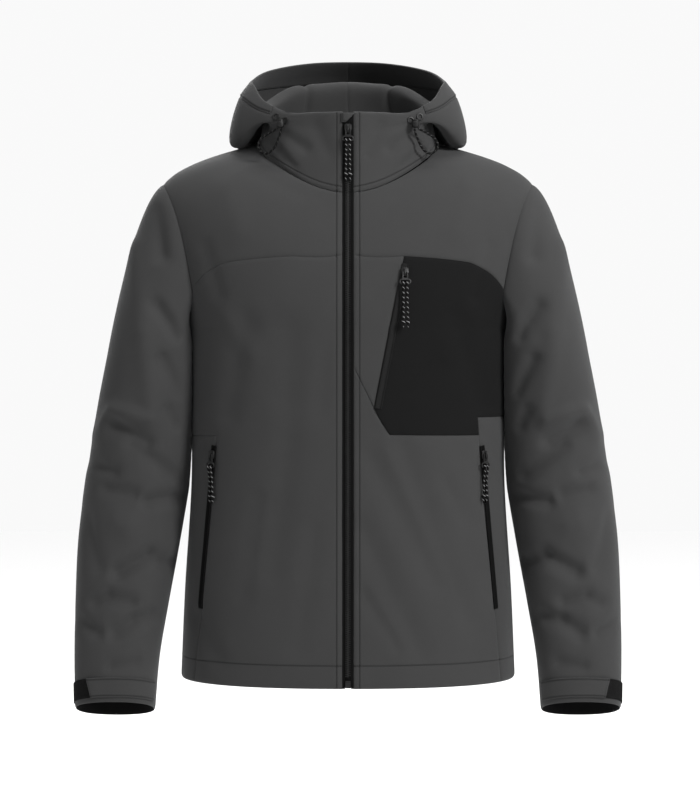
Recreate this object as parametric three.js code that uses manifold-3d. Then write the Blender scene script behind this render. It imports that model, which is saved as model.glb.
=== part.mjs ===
/**
 * A men's softshell jacket with a hood, zipped up and filled out as if worn, with no wearer.
 *
 * Millimetres. The front faces -Y, +Z is up and +X is the wearer's left. The origin is at the
 * middle of the neck, level with the highest points of the shoulders. A place on the torso or the
 * hood is an angle round the body (0 at the front zip, 90 degrees at the side) and a level.
 */
import * as THREE from 'three';
import { mergeVertices } from 'three/addons/utils/BufferGeometryUtils.js';
import Module from 'manifold-3d';

const wasm = await Module();
wasm.setup();

// Driving dimensions
const WALL = 2; // bonded shell fabric
const SEAM_GAP = 0.3;
const LIFT = 0.4; // what lies on a panel is this far off it
const HEM_Z = -671;
const CHEST_Z = -230;
const ZIP_EDGE = 7; // half the width between the folded front edges
const CHAIN_HALF = 3.3;
const QUARTER = Math.PI / 2;
const NOD = 1e-4; // step for slopes, in radians and levels

const degrees = THREE.MathUtils.degToRad;
const lerp = THREE.MathUtils.lerp;
const smooth = (x, from, to) => {
  const t = THREE.MathUtils.clamp((x - from) / (to - from), 0, 1);
  return t * t * (3 - 2 * t);
};
const vec = (x, y, z) => new THREE.Vector3(x, y, z);

/** Rows of plain numbers as objects with named columns. */
const table = (columns, values) =>
  values.map((row) => Object.fromEntries(columns.map((name, i) => [name, row[i]])));

// Torso rings from the hem up to the chest: half width, and depth in front and behind
const TORSO_RINGS = table(
  ['z', 'wide', 'front', 'back'],
  [
    [HEM_Z, 212, 134, 129],
    [-560, 207, 134, 126],
    [-424, 198.5, 131, 121],
    [-330, 199, 132, 125],
    [CHEST_Z, 203, 133, 131],
  ],
);
const TORSO_POWER = 2.35;
// Control rings of the curves that run from the chest over the shoulders to the neck
const LIFT_RING = {
  ...{ wide: 235, front: 135, back: 141, power: 2.35 },
  ...{ side: -100, low: -172, rear: -150 },
};
const CROWN_RING = {
  ...{ wide: 313, front: 112, back: 124, power: 2 },
  ...{ side: -38, low: -100, rear: -30 },
};
const NECK_RING = { wide: 112, front: 92, back: 84, power: 2 };
const NECK_Z = [-12.9, -37.8, -12.9]; // mean, tilt and dip of the neck seam

/** The armhole as an egg round the side meridian: its reach in angle and level. */
const ARMHOLE = { middle: 1.14, tip: 0.52, bottom: 0.14, front: degrees(20), back: degrees(18) };
const ARM_NODES = 20;

// Soft ridges and troughs of the cloth, seen from the front or the back, as x, z of both ends
const FOLD = ['x0', 'z0', 'x1', 'z1', 'wide', 'deep'];
const TORSO_FOLDS_FRONT = table(FOLD, [
  [-125, -225, -148, -335, 15, -1.6],
  [-70, -235, -72, -365, 17, -1.4],
  [-72, -370, -92, -530, 16, -1.5],
  [134, -220, 166, -325, 15, -1.6],
  [30, -390, 112, -545, 16, -1.8],
  [66, -375, 150, -590, 15, -1.6],
  [14, -470, 92, -630, 15, -1.5],
  [-185, -590, -160, -640, 12, -1.5],
  [-150, -215, -120, -262, 14, 1.5],
  [150, -215, 122, -262, 14, 1.5],
  [-150, -60, -135, -110, 18, 1.2],
  [150, -60, 135, -110, 18, 1.2],
]);
const TORSO_FOLDS_BACK = table(FOLD, [
  [-150, -150, -90, -215, 17, -2],
  [150, -160, 92, -220, 17, -2],
  [-70, -300, -95, -470, 18, -2],
  [78, -290, 88, -480, 18, -2],
  [-20, -380, 25, -470, 20, -1.5],
  [-150, -480, -120, -610, 16, -1.8],
  [150, -470, 128, -600, 16, -1.8],
]);
const SLEEVE_FOLDS_FRONT = table(FOLD, [
  [236, -83, 231, -138, 11, -4],
  [206, -99, 201, -119, 9, -3],
  [267, -128, 254, -235, 14, 2.5],
  [254, -235, 244, -328, 13, 2.5],
  [236, -203, 210, -240, 9, -4],
  [229, -269, 207, -309, 9, -3.5],
  [222, -333, 213, -352, 8, -3],
  [316, -364, 290, -333, 11, 4],
  [290, -333, 246, -342, 10, 4],
  [290, -350, 250, -373, 10, -5],
  [325, -399, 292, -409, 9, -3.5],
  [267, -375, 217, -413, 10, -4],
  [301, -430, 267, -436, 9, -3.5],
  [248, -446, 213, -441, 9, -4.5],
  [284, -471, 276, -474, 17, 3.5],
  [330, -462, 311, -526, 11, -2.5],
  [284, -532, 245, -513, 10, -5.5],
  [245, -513, 224, -523, 10, -4.5],
  [314, -570, 297, -563, 9, -4],
  [297, -563, 268, -569, 9, -4],
  [287, -606, 264, -592, 10, -4.5],
  [264, -592, 243, -589, 10, -4.5],
  [334, -596, 311, -607, 9, -3.5],
  [290, -650, 262, -645, 9, -3],
]);
const SLEEVE_FOLDS_BACK = table(FOLD, [
  [240, -110, 232, -190, 14, -4],
  [300, -300, 245, -330, 13, -5],
  [312, -380, 250, -372, 11, -5.5],
  [300, -415, 240, -400, 11, -5.5],
  [322, -445, 262, -452, 11, -5],
  [310, -520, 262, -540, 12, -4.5],
  [330, -590, 280, -600, 11, -4],
]);

// Sleeve rings down the arm: outer and inner edge seen from the front, middle and half depth
const SLEEVE_RINGS = table(
  ['z', 'outer', 'inner', 'middle', 'deep', 'tilt'],
  [
    [-706, 341, 241, -62, 40, 20],
    [-640, 342.5, 236, -52, 46, 18],
    [-577, 342.5, 226, -38, 52, 14],
    [-500, 340.5, 212.5, -22, 59, 8],
    [-424, 332.5, 200, -12, 65, 3],
    [-382, 325, 195, -9, 68, 1],
    [-323, 315.5, 189, -9, 72, 0],
    [-262, 303.5, 186, -9, 76, 0],
  ],
);
const SLEEVE_POWER = 2.25;
const BICEP_Z = -262;
const CUFF_Z = -706;
const TORSO_CLEAR = 2.8; // the inner side of a sleeve is this far off the torso
// Ways in which the cap leaves the armhole at its top and its foot, and reaches the upper arm
const CAP_TOP = { out: 0.92, up: -0.4 };
const CAP_UNDER = { out: 0.12, up: -1 };
const CAP_SIDEWAYS = 0.55;
const ARM_LINE = vec(-0.17, 0, 0.98);
const CAP_STEPS = 5;
const ARM_STEPS = 13;

// Profile of the hood from the neck seam to the rim at stations round it: each control point's
// way out from the neck seam, and its height
const HOOD_POINTS = ['stand', 'ridge', 'roll', 'inner', 'bottom', 'bulge', 'band', 'rim'];
const HOOD_COLUMNS = ['angle', ...HOOD_POINTS.flatMap((name) => [`${name}Out`, `${name}Z`])];
const HOOD_STATIONS = table(HOOD_COLUMNS, [
  [0, -2, -50, -4, -36, -5.5, -22, -7, -8, -7.5, 4, -8, 15, -8, 25, -8, 36],
  [28, -2, -44, -4, -32, -6, -19, -8, -6, -9, 5, -10, 16, -10, 26, -10, 36],
  [50, 0, -24, 0, -14, -1, -3, -2, 6, -3, 14, -4, 22, -4, 29, -5, 37],
  [66, 1, -6, -2, 6, -3, 18, 0, 24, 7, 26, 14, 24, 14, 38, 7, 53],
  [82, -4, 22, -13, 40, -8, 46, 2, 30, 18, 0, 33, 3, 25, 52, 9, 75],
  [105, -6, 34, -15, 54, -6, 59, 5, 32, 24, -4, 42, 4, 33, 62, 15, 88],
  [132, -6, 44, -12, 74, -2, 79, 9, 36, 34, -24, 66, 6, 62, 74, 36, 105],
  [160, -5, 48, -8, 80, 4, 84, 14, 24, 46, -50, 88, 0, 88, 84, 57, 118],
  [180, -5, 50, -7, 82, 5, 86, 15, 18, 50, -58, 96, -4, 96, 88, 64, 121],
]);
const HOOD_STEPS = 13;
const BAND_STEPS = 2;
const HOOD_REST = 3; // the hood's underside lies this far above the shoulders
const BAND_EXTRA = 0.8; // the rim casing is this much thicker on each face

const FRONT_STEPS = [3, 6, 3]; // columns from the zip to the side seam
const BACK_STEPS = 16;
const BACK_ROWS = 9;
const ROW_STEPS = { low: 8, notch: 1, point: 1, chest: 4, armhole: ARM_NODES / 4 };
const YOKE_STEPS = 5;

// Where the seams of the wearer's left front cross, from the zip to the side seam, as x and z
const LEFT_CROSSINGS = {
  hem: [[ZIP_EDGE, HEM_Z], [54, HEM_Z], [191, HEM_Z], HEM_Z],
  panelFoot: [[ZIP_EDGE, -306], [51, -361], [162.6, -363], -366],
  notch: [[ZIP_EDGE, -291], [38, -341], [161.6, -341], -342],
  point: [[ZIP_EDGE, -278], [31.8, -328.5], [160.8, -328], -328],
  chest: [[ZIP_EDGE, -205], [51.2, -230], [157, -232], CHEST_Z],
  yoke: [[ZIP_EDGE, -141], [68.4, -142.3], [150, -150]],
};
// The same of the right front, where one column line is only a place to bend
const RIGHT_CROSSINGS = {
  hem: [[ZIP_EDGE, HEM_Z], [54, HEM_Z], [192, HEM_Z], HEM_Z],
  panelFoot: [[ZIP_EDGE, -363], [52, -363], [162.6, -363], -366],
  notch: [[ZIP_EDGE, -341], [52, -341], [161.6, -341], -342],
  point: [[ZIP_EDGE, -318], [54, -320], [160.8, -322], -324],
  chest: [[ZIP_EDGE, -215], [60, -220], [157, -228], CHEST_Z],
  yoke: [[ZIP_EDGE, -141], [68.4, -142.3], [150, -150]],
};
const YOKE_BEND = [172, -160]; // the yoke seam turns down to the armhole here

// Zips of the pockets, from top to bottom
const POCKET_ZIP = { top: [165.4, -376], foot: [183.6, -579], wide: 8 };
const CHEST_ZIP = { top: [70.6, -152], foot: [36.9, -326], wide: 8.4 };
const ZIP_THICK = 1.2;

const COLOURS = {
  shell: new THREE.MeshStandardMaterial({ color: 0x434445, roughness: 0.9, metalness: 0 }),
  panel: new THREE.MeshStandardMaterial({ color: 0x1f2020, roughness: 0.9, metalness: 0 }),
  tape: new THREE.MeshStandardMaterial({ color: 0x161717, roughness: 0.85, metalness: 0 }),
  patch: new THREE.MeshStandardMaterial({ color: 0x0e0f0f, roughness: 1, metalness: 0 }),
  plastic: new THREE.MeshStandardMaterial({ color: 0x141516, roughness: 0.45, metalness: 0 }),
  metal: new THREE.MeshStandardMaterial({ color: 0x1b1c1e, roughness: 0.35, metalness: 0.6 }),
  cord: new THREE.MeshStandardMaterial({ color: 0x1b1c1c, roughness: 0.8, metalness: 0 }),
};

/** All columns of a table at a place between its rows, on smooth curves. */
function sample(rows, key, at) {
  const rising = rows[rows.length - 1][key] > rows[0][key] ? rows : [...rows].reverse();
  let i = rising.findIndex((row) => row[key] > at) - 1;
  if (i < 0) i = at < rising[0][key] ? 0 : rising.length - 2;
  const [a, b] = [rising[i], rising[i + 1]];
  const [before, after] = [rising[i - 1] ?? a, rising[i + 2] ?? b];
  const span = b[key] - a[key];
  const t = THREE.MathUtils.clamp((at - a[key]) / span, 0, 1);
  const result = {};
  for (const name of Object.keys(a)) {
    const start = ((b[name] - before[name]) / (b[key] - before[key])) * span;
    const end = ((after[name] - a[name]) / (after[key] - a[key])) * span;
    const bend = (1 - t) ** 2 * t * start - (1 - t) * t * t * end;
    result[name] = a[name] + (b[name] - a[name]) * t * t * (3 - 2 * t) + bend;
  }
  return result;
}

/** A point of a rounded ring in plan, in the direction of an angle from the front. */
function ringPoint(ring, angle, power) {
  const depth = Math.cos(angle) > 0 ? ring.front : ring.back;
  const across = Math.abs(Math.sin(angle) / ring.wide) ** power;
  const along = Math.abs(Math.cos(angle) / depth) ** power;
  const reach = (across + along) ** (-1 / power);
  return vec(reach * Math.sin(angle), -reach * Math.cos(angle), 0);
}

/** A control ring's point, with its own height at the side, the front and the back. */
function controlPoint(ring, angle) {
  const point = ringPoint(ring, angle, ring.power);
  const far = Math.cos(angle) > 0 ? ring.low : ring.rear;
  point.z = lerp(ring.side, far, Math.cos(angle) ** 2);
  return point;
}

/** The neck seam at an angle. */
function neckPoint(angle) {
  const point = ringPoint(NECK_RING, angle, NECK_RING.power);
  point.z = NECK_Z[0] + NECK_Z[1] * Math.cos(angle) + NECK_Z[2] * Math.cos(2 * angle);
  return point;
}

/** The torso: levels 0 to 1 from the hem to the chest, 1 to 2 over the shoulders to the neck. */
function torsoPoint(angle, level) {
  if (level <= 1) {
    const z = lerp(HEM_Z, CHEST_Z, level);
    const point = ringPoint(sample(TORSO_RINGS, 'z', z), angle, TORSO_POWER);
    point.z = z;
    return point;
  }
  const chest = ringPoint(TORSO_RINGS[TORSO_RINGS.length - 1], angle, TORSO_POWER);
  chest.z = CHEST_Z;
  const curve = new THREE.CubicBezierCurve3(
    chest,
    controlPoint(LIFT_RING, angle),
    controlPoint(CROWN_RING, angle),
    neckPoint(angle),
  );
  return curve.getPoint(level - 1);
}

/** The outward normal of a surface of two parameters, by small steps. */
function normalOf(surface, u, v) {
  const across = surface(u + NOD, v).sub(surface(u - NOD, v));
  const up = surface(u, v + NOD).sub(surface(u, v - NOD));
  return across.cross(up).normalize();
}

/** How far the folds of a table lift the cloth at x, z. Each is a bell round a line. */
function foldLift(folds, x, z) {
  let lift = 0;
  for (const fold of folds) {
    const [dx, dz] = [fold.x1 - fold.x0, fold.z1 - fold.z0];
    const along = ((x - fold.x0) * dx + (z - fold.z0) * dz) / (dx * dx + dz * dz);
    const t = THREE.MathUtils.clamp(along, 0, 1);
    const away = Math.hypot(x - fold.x0 - dx * t, z - fold.z0 - dz * t) / fold.wide;
    lift += fold.deep * Math.exp(-away * away);
  }
  return lift;
}

/** The torso's cloth with its folds: a point of the outer face and its normal. */
function torsoCloth({ u, v }) {
  const point = torsoPoint(u, v);
  const normal = normalOf(torsoPoint, u, v);
  const front = smooth(-point.y, 35, 70);
  const back = smooth(point.y, 35, 70);
  const lift =
    front * foldLift(TORSO_FOLDS_FRONT, point.x, point.z) +
    back * foldLift(TORSO_FOLDS_BACK, point.x, point.z);
  const edge = smooth(point.z, HEM_Z, HEM_Z + 30) * (1 - smooth(v, 1.8, 1.97));
  return { point: point.addScaledVector(normal, lift * edge), normal };
}

/** The place on a surface that lies at x, z seen from the front. */
function placeAt(surface, x, z, guess) {
  const place = { ...guess };
  for (let turn = 0; turn < 30; turn++) {
    const here = surface(place.u, place.v);
    const byU = surface(place.u + NOD, place.v).sub(here).divideScalar(NOD);
    const byV = surface(place.u, place.v + NOD).sub(here).divideScalar(NOD);
    const [ex, ez] = [x - here.x, z - here.z];
    const scale = byU.x * byV.z - byV.x * byU.z;
    place.u += THREE.MathUtils.clamp((ex * byV.z - byV.x * ez) / scale, -0.2, 0.2);
    place.v += THREE.MathUtils.clamp((byU.x * ez - ex * byU.z) / scale, -0.2, 0.2);
  }
  return place;
}

/** The level of the torso at which a meridian passes a height. */
function levelAt(angle, z) {
  if (z <= CHEST_Z) return (z - HEM_Z) / (CHEST_Z - HEM_Z);
  let [low, high] = [1, 2];
  for (let turn = 0; turn < 30; turn++) {
    const middle = (low + high) / 2;
    if (torsoPoint(angle, middle).z < z) low = middle;
    else high = middle;
  }
  return low;
}

/** A place on the torso's front from x and z, or on its side seam from z alone. */
function frontPlace(crossing) {
  if (typeof crossing === 'number') return { u: QUARTER, v: levelAt(QUARTER, crossing) };
  const [x, z] = crossing;
  const guess = { u: Math.asin(Math.min(0.97, Math.abs(x) / 200)), v: levelAt(0.5, z) };
  return placeAt(torsoPoint, x, z, guess);
}

/** A node of the armhole: 0 at the shoulder tip, then down the front and up the back. */
function armholePlace(node) {
  const turn = (2 * Math.PI * node) / ARM_NODES;
  const { middle, tip, bottom, front, back } = ARMHOLE;
  const reach = Math.sin(turn) > 0 ? front : back;
  const height = Math.cos(turn) > 0 ? tip : bottom;
  return { u: QUARTER - reach * Math.sin(turn), v: middle + height * Math.cos(turn) };
}

const steps = (count) => Array.from({ length: count + 1 }, (_, i) => i / count);
const mix = (a, b, t) => ({ u: lerp(a.u, b.u, t), v: lerp(a.v, b.v, t) });

/** Evenly spaced places along a smooth line through the given ones. */
function line(places, count) {
  const curve = new THREE.SplineCurve(places.map(({ u, v }) => new THREE.Vector2(u, v)));
  return curve.getSpacedPoints(count).map(({ x, y }) => ({ u: x, v: y }));
}

/**
 * Places over a four-sided patch whose sides are lists of places.
 * Straight lines from the bottom to the top bend with the two sides, less and less inwards.
 */
function patch(bottom, top, left, right) {
  const [columns, rows] = [bottom.length - 1, left.length - 1];
  return left.map((_, r) =>
    bottom.map((__, c) => {
      const [s, t] = [c / columns, r / rows];
      const bend = (side, at, key) => side[r][key] - lerp(bottom[at][key], top[at][key], t);
      const blend = (key) =>
        lerp(bottom[c][key], top[c][key], t) +
        (1 - s) ** 2 * bend(left, 0, key) +
        s ** 2 * bend(right, columns, key);
      return { u: blend('u'), v: blend('v') };
    }),
  );
}

/** The place level with another one and beside the front zip. */
const besideZip = ({ v }) => ({ u: Math.asin(ZIP_EDGE / -torsoPoint(0, v).y), v });

/** Places along a seam that looks straight from the front, between two points in x, z. */
const straightSeam = ([x1, z1], [x2, z2], count) =>
  steps(count).map((t) => frontPlace([lerp(x1, x2, t), lerp(z1, z2, t)]));

/** Places of one front from the hem to the yoke seam, and the rows where its seams run. */
function frontPlaces(crossings) {
  const names = ['hem', 'panelFoot', 'notch', 'point', 'chest', 'yoke'];
  const spans = Object.values(ROW_STEPS);
  const keys = names.map((name) => crossings[name].map(frontPlace));
  keys[5].push(armholePlace(ARM_NODES / 4));
  const bend = frontPlace(YOKE_BEND);
  const across = keys.map((row, k) =>
    FRONT_STEPS.map((count, c) =>
      line(k === 5 && c === 2 ? [row[2], bend, row[3]] : [row[c], row[c + 1]], count),
    ),
  );
  const places = [];
  spans.forEach((count, k) => {
    const upright = (c) => {
      const atArmhole = k === 4 && c === 3;
      if (atArmhole) return steps(count).map((t) => armholePlace(ARM_NODES / 2 - t * count));
      if (c === 1 && k > 2) return straightSeam(crossings[names[k]][1], crossings[names[k + 1]][1], count);
      const side = steps(count).map((t) => mix(keys[k][c], keys[k + 1][c], t));
      return c === 0 ? side.map(besideZip) : side;
    };
    const blocks = FRONT_STEPS.map((_, c) =>
      patch(across[k][c], across[k + 1][c], upright(c), upright(c + 1)),
    );
    const rows = steps(count).map((_, r) => [
      ...blocks[0][r],
      ...blocks[1][r].slice(1),
      ...blocks[2][r].slice(1),
    ]);
    places.push(...(k === 0 ? rows : rows.slice(1)));
  });
  return places;
}

const FRONT_COLUMNS = FRONT_STEPS.reduce((a, b) => a + b);
const YOKE_COLUMNS = FRONT_COLUMNS + ARM_NODES / 4;
const ZIP_NECK_ANGLE = Math.asin(ZIP_EDGE / NECK_RING.front);
const neckAngle = (c) => lerp(ZIP_NECK_ANGLE, QUARTER, c / YOKE_COLUMNS);

/** Places of one yoke, from the yoke seam and the front of the armhole up to the neck seam. */
function yokePlaces(front) {
  const seam = front[front.length - 1];
  const hole = steps(ARM_NODES / 4).map((t) => armholePlace((ARM_NODES / 4) * (1 - t)));
  const bottom = [...seam, ...hole.slice(1)];
  const top = steps(YOKE_COLUMNS).map((_, c) => ({ u: neckAngle(c), v: 2 }));
  const left = steps(YOKE_STEPS).map((t) => besideZip(mix(bottom[0], top[0], t)));
  const right = steps(YOKE_STEPS).map((t) => mix(bottom[YOKE_COLUMNS], top[YOKE_COLUMNS], t));
  return patch(bottom, top, left, right);
}

/** Places of the back: up the side seams, round the armholes to the shoulder seams and the neck. */
function backPlaces() {
  const lower = steps(BACK_ROWS).map((v) =>
    steps(BACK_STEPS).map((t) => ({ u: QUARTER * (1 + 2 * t), v })),
  );
  const half = ARM_NODES / 2;
  const hole = steps(half).map((t) => armholePlace(half + t * half));
  const shoulder = line([hole[half], { u: QUARTER, v: 2 }], YOKE_STEPS - 1).slice(1);
  const near = [...hole, ...shoulder];
  const far = near.map(({ u, v }) => ({ u: 2 * Math.PI - u, v }));
  const top = lower[0].map(({ u }) => ({ u, v: 2 }));
  const upper = patch(lower[BACK_ROWS], top, near, far);
  return [...lower, ...upper.slice(1)];
}

/** Cloth at each place of a grid: a point, its normal, and the inner face one wall further in. */
function clothGrid(places, cloth) {
  return places.map((row) =>
    row.map((place) => {
      const { point, normal } = cloth(place);
      return { outer: point, normal, inner: point.clone().addScaledVector(normal, -WALL) };
    }),
  );
}

/** A grid turned to the other side of the body. */
function mirrored(grid) {
  const flip = (v) => vec(-v.x, v.y, v.z);
  return grid.map((row) =>
    row.map(({ outer, inner, normal }) => ({
      outer: flip(outer),
      inner: flip(inner),
      normal: flip(normal),
    })),
  );
}

/** A geometry from points and faces, turned so that its faces point out. */
function solid(points, faces) {
  let volume = 0;
  for (const [a, b, c] of faces) {
    volume += points[a].dot(points[b].clone().cross(points[c]));
  }
  const turned = volume < 0 ? faces.map(([a, b, c]) => [a, c, b]) : faces;
  const geometry = new THREE.BufferGeometry();
  const numbers = points.flatMap((p) => [p.x, p.y, p.z]);
  geometry.setAttribute('position', new THREE.Float32BufferAttribute(numbers, 3));
  geometry.setIndex(turned.flat());
  geometry.computeVertexNormals();
  return geometry;
}

/**
 * A closed wall over the cells of a grid that belong to one piece.
 * Each edge of the piece draws back by half a seam gap. A ring closes on itself sideways.
 */
function wall(grid, { covers = () => true, ring = false, gap = SEAM_GAP / 2 } = {}) {
  const [rows, columns] = [grid.length - 1, grid[0].length - 1];
  const wrap = (c) => (ring ? (c + columns) % columns : c);
  const filled = (r, c) => {
    const inside = r >= 0 && r < rows && (ring || (c >= 0 && c < columns));
    return inside && covers(r, wrap(c));
  };
  const points = [];
  const faces = [];
  const rims = [];
  const moves = new Map();
  const numbers = new Map();
  const key = (r, c) => r * (columns + 1) + wrap(c);
  const number = (r, c) => {
    const k = key(r, c);
    if (!numbers.has(k)) {
      numbers.set(k, points.length);
      points.push(grid[r][wrap(c)].outer.clone(), grid[r][wrap(c)].inner.clone());
    }
    return numbers.get(k);
  };
  for (let r = 0; r < rows; r++) {
    for (let c = 0; c < columns; c++) {
      if (!filled(r, c)) continue;
      const corners = [[r, c], [r, c + 1], [r + 1, c + 1], [r + 1, c]];
      const [p, q, s, t] = corners.map(([i, j]) => number(i, j));
      faces.push([p, q, s], [p, s, t], [p + 1, s + 1, q + 1], [p + 1, t + 1, s + 1]);
      const beside = [[r - 1, c], [r, c + 1], [r + 1, c], [r, c - 1]];
      beside.forEach(([i, j], side) => {
        if (filled(i, j)) return;
        const from = corners[side];
        const to = corners[(side + 1) % 4];
        rims.push([number(...from), number(...to)]);
        const [a, b] = [from, to].map(([m, n]) => grid[m][wrap(n)]);
        const middle = corners.reduce((sum, [m, n]) => sum.add(grid[m][wrap(n)].outer), vec(0, 0, 0));
        const along = b.outer.clone().sub(a.outer).normalize();
        const inward = a.normal.clone().add(b.normal).cross(along).normalize();
        if (inward.dot(middle.divideScalar(4).sub(a.outer)) < 0) inward.negate();
        for (const [m, n] of [from, to]) {
          moves.set(key(m, n), [...(moves.get(key(m, n)) ?? []), inward]);
        }
      });
    }
  }
  for (const [k, inwards] of moves) {
    const [first, second] = [inwards[0], inwards[inwards.length - 1]];
    const move = first.clone().add(second).multiplyScalar(gap / (1 + first.dot(second)));
    points[numbers.get(k)].add(move);
    points[numbers.get(k) + 1].add(move);
  }
  for (const [p, q] of rims) faces.push([q, p, p + 1], [q, p + 1, q + 1]);
  return solid(points, faces);
}

/** A closed strip from a list of cross-sections that have the same number of corners. */
function loft(sections) {
  const sides = sections[0].length;
  const points = sections.flat();
  const faces = [];
  for (let i = 0; i + 1 < sections.length; i++) {
    for (let j = 0; j < sides; j++) {
      const [a, b] = [i * sides + j, i * sides + ((j + 1) % sides)];
      faces.push([a, b, b + sides], [a, b + sides, a + sides]);
    }
  }
  const last = (sections.length - 1) * sides;
  for (let j = 1; j + 1 < sides; j++) faces.push([0, j + 1, j], [last, last + j, last + j + 1]);
  return solid(points, faces);
}

const group = new THREE.Group();

/** Adds a named piece to the jacket. */
function add(name, geometry, colour, frame) {
  const mesh = new THREE.Mesh(geometry, COLOURS[colour].clone());
  mesh.name = name;
  if (frame) {
    mesh.position.copy(frame.origin);
    const turned = new THREE.Matrix4().makeBasis(frame.across, frame.back, frame.up);
    mesh.quaternion.setFromRotationMatrix(turned);
  }
  group.add(mesh);
  return mesh;
}

/** A place's own axes: across the cloth, into it, and up along it. */
function frameOn(cloth, place, lift) {
  const { point, normal } = cloth(place);
  const up = vec(0, 0, 1).addScaledVector(normal, -normal.z).normalize();
  const back = normal.clone().negate();
  return { origin: point.addScaledVector(normal, lift), across: back.clone().cross(up), back, up };
}

/** The same frame on the other side of the body. */
function mirroredFrame({ origin, across, back, up }) {
  const flip = (v) => vec(-v.x, v.y, v.z);
  return { origin: flip(origin), across: flip(across).negate(), back: flip(back), up: flip(up) };
}

// Panels of the torso

const leftFront = frontPlaces(LEFT_CROSSINGS);
const rightFront = frontPlaces(RIGHT_CROSSINGS);
const NOTCH_ROW = ROW_STEPS.low + ROW_STEPS.notch;
const POINT_ROW = NOTCH_ROW + ROW_STEPS.point;
const INNER_COLUMN = FRONT_STEPS[0];
const SIDE_COLUMN = FRONT_STEPS[0] + FRONT_STEPS[1];

const isSidePanel = (r, c, top) => r < top && c >= SIDE_COLUMN;
const leftPiece = (r, c) => {
  if (isSidePanel(r, c, NOTCH_ROW)) return 'side_left';
  if (c < INNER_COLUMN) return r < POINT_ROW ? 'front_left_lower' : 'front_left_inner';
  return r < ROW_STEPS.low ? 'front_left_lower' : 'chest_pocket_panel';
};
const leftGrid = clothGrid(leftFront, torsoCloth);
for (const name of ['front_left_lower', 'front_left_inner', 'chest_pocket_panel', 'side_left']) {
  const geometry = wall(leftGrid, { covers: (r, c) => leftPiece(r, c) === name });
  add(name, geometry, name === 'chest_pocket_panel' ? 'panel' : 'shell');
}
add('yoke_left', wall(clothGrid(yokePlaces(leftFront), torsoCloth)), 'shell');

/** The cloth of the wearer's right side, worked out on its own side and given mirrored. */
function rightCloth({ u, v }) {
  const { point, normal } = torsoCloth({ u: -u, v });
  return { point: vec(-point.x, point.y, point.z), normal: vec(-normal.x, normal.y, normal.z) };
}
const rightGrid = mirrored(clothGrid(rightFront, rightCloth));
const rightSide = (r, c) => isSidePanel(r, c, ROW_STEPS.low);
add('side_right', wall(rightGrid, { covers: rightSide }), 'shell');
add('front_right', wall(rightGrid, { covers: (r, c) => !rightSide(r, c) }), 'shell');
add('yoke_right', wall(mirrored(clothGrid(yokePlaces(rightFront), rightCloth))), 'shell');
add('back', wall(clothGrid(backPlaces(), torsoCloth)), 'shell');

// Sleeves

/** Pushes a point sideways until it is clear of the torso's outer face. */
function clearOfTorso(point, gap) {
  if (point.z > -60) return point;
  const angle = Math.atan2(point.x, -point.y);
  const side = torsoPoint(angle, levelAt(angle, point.z));
  const reach = Math.hypot(side.x, side.y) + gap;
  const away = Math.hypot(point.x, point.y);
  if (away < reach) {
    point.x *= reach / away;
    point.y *= reach / away;
  }
  return point;
}

/** A point of a sleeve ring at a height, `turn` going from the outer side to the front. */
function ringOnArm(z, turn) {
  const ring = sample(SLEEVE_RINGS, 'z', z);
  const [wide, middle] = [(ring.outer - ring.inner) / 2, (ring.outer + ring.inner) / 2];
  const [c, s] = [Math.cos(turn), Math.sin(turn)];
  const power = SLEEVE_POWER;
  const reach = (Math.abs(c / wide) ** power + Math.abs(s / ring.deep) ** power) ** (-1 / power);
  const tilt = degrees(ring.tilt);
  return vec(
    middle + reach * c,
    ring.middle - reach * s * Math.cos(tilt),
    z + reach * s * Math.sin(tilt),
  );
}

/** The sleeve's bare form: levels 0 to 1 over the cap, 1 to 2 down the arm to the cuff. */
function sleeveForm(turn, level) {
  if (level > 1) {
    return clearOfTorso(ringOnArm(lerp(BICEP_Z, CUFF_Z, level - 1), turn), TORSO_CLEAR);
  }
  const hole = armholePlace((turn / (2 * Math.PI)) * ARM_NODES);
  const start = torsoPoint(hole.u, hole.v);
  const end = ringOnArm(BICEP_Z, turn);
  const under = (1 - Math.cos(turn)) / 2;
  const away = vec(
    lerp(CAP_TOP.out, CAP_UNDER.out, under),
    -CAP_SIDEWAYS * Math.sin(turn),
    lerp(CAP_TOP.up, CAP_UNDER.up, under),
  ).normalize();
  const inHole = torsoPoint(lerp(hole.u, QUARTER, 0.05), lerp(hole.v, ARMHOLE.middle, 0.05));
  start.addScaledVector(inHole.sub(start).normalize(), SEAM_GAP);
  const rise = start.z - end.z;
  const first = start.clone().addScaledVector(away, 6 + rise * 0.12 * (1 - under));
  const second = end.clone().addScaledVector(ARM_LINE, rise * lerp(0.34, 0.4, under));
  const point = new THREE.CubicBezierCurve3(start, first, second, end).getPoint(level);
  return clearOfTorso(point, TORSO_CLEAR * smooth(level, 0, 0.12));
}

/** The sleeve's cloth with its folds. */
function sleeveCloth({ u, v }) {
  const point = sleeveForm(u, v);
  const normal = normalOf(sleeveForm, u, Math.max(v, 2 * NOD));
  const middle = sample(SLEEVE_RINGS, 'z', point.z).middle;
  const front = smooth(middle - point.y, -6, 24);
  const back = smooth(point.y - middle, -6, 24);
  const free = smooth(Math.abs(point.x), 196, 216);
  const lift =
    front * foldLift(SLEEVE_FOLDS_FRONT, point.x, point.z) +
    back * foldLift(SLEEVE_FOLDS_BACK, point.x, point.z);
  const edge = smooth(v, 0.05, 0.35) * (1 - smooth(v, 1.9, 1.94));
  return { point: point.addScaledVector(normal, lift * free * edge), normal };
}

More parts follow.
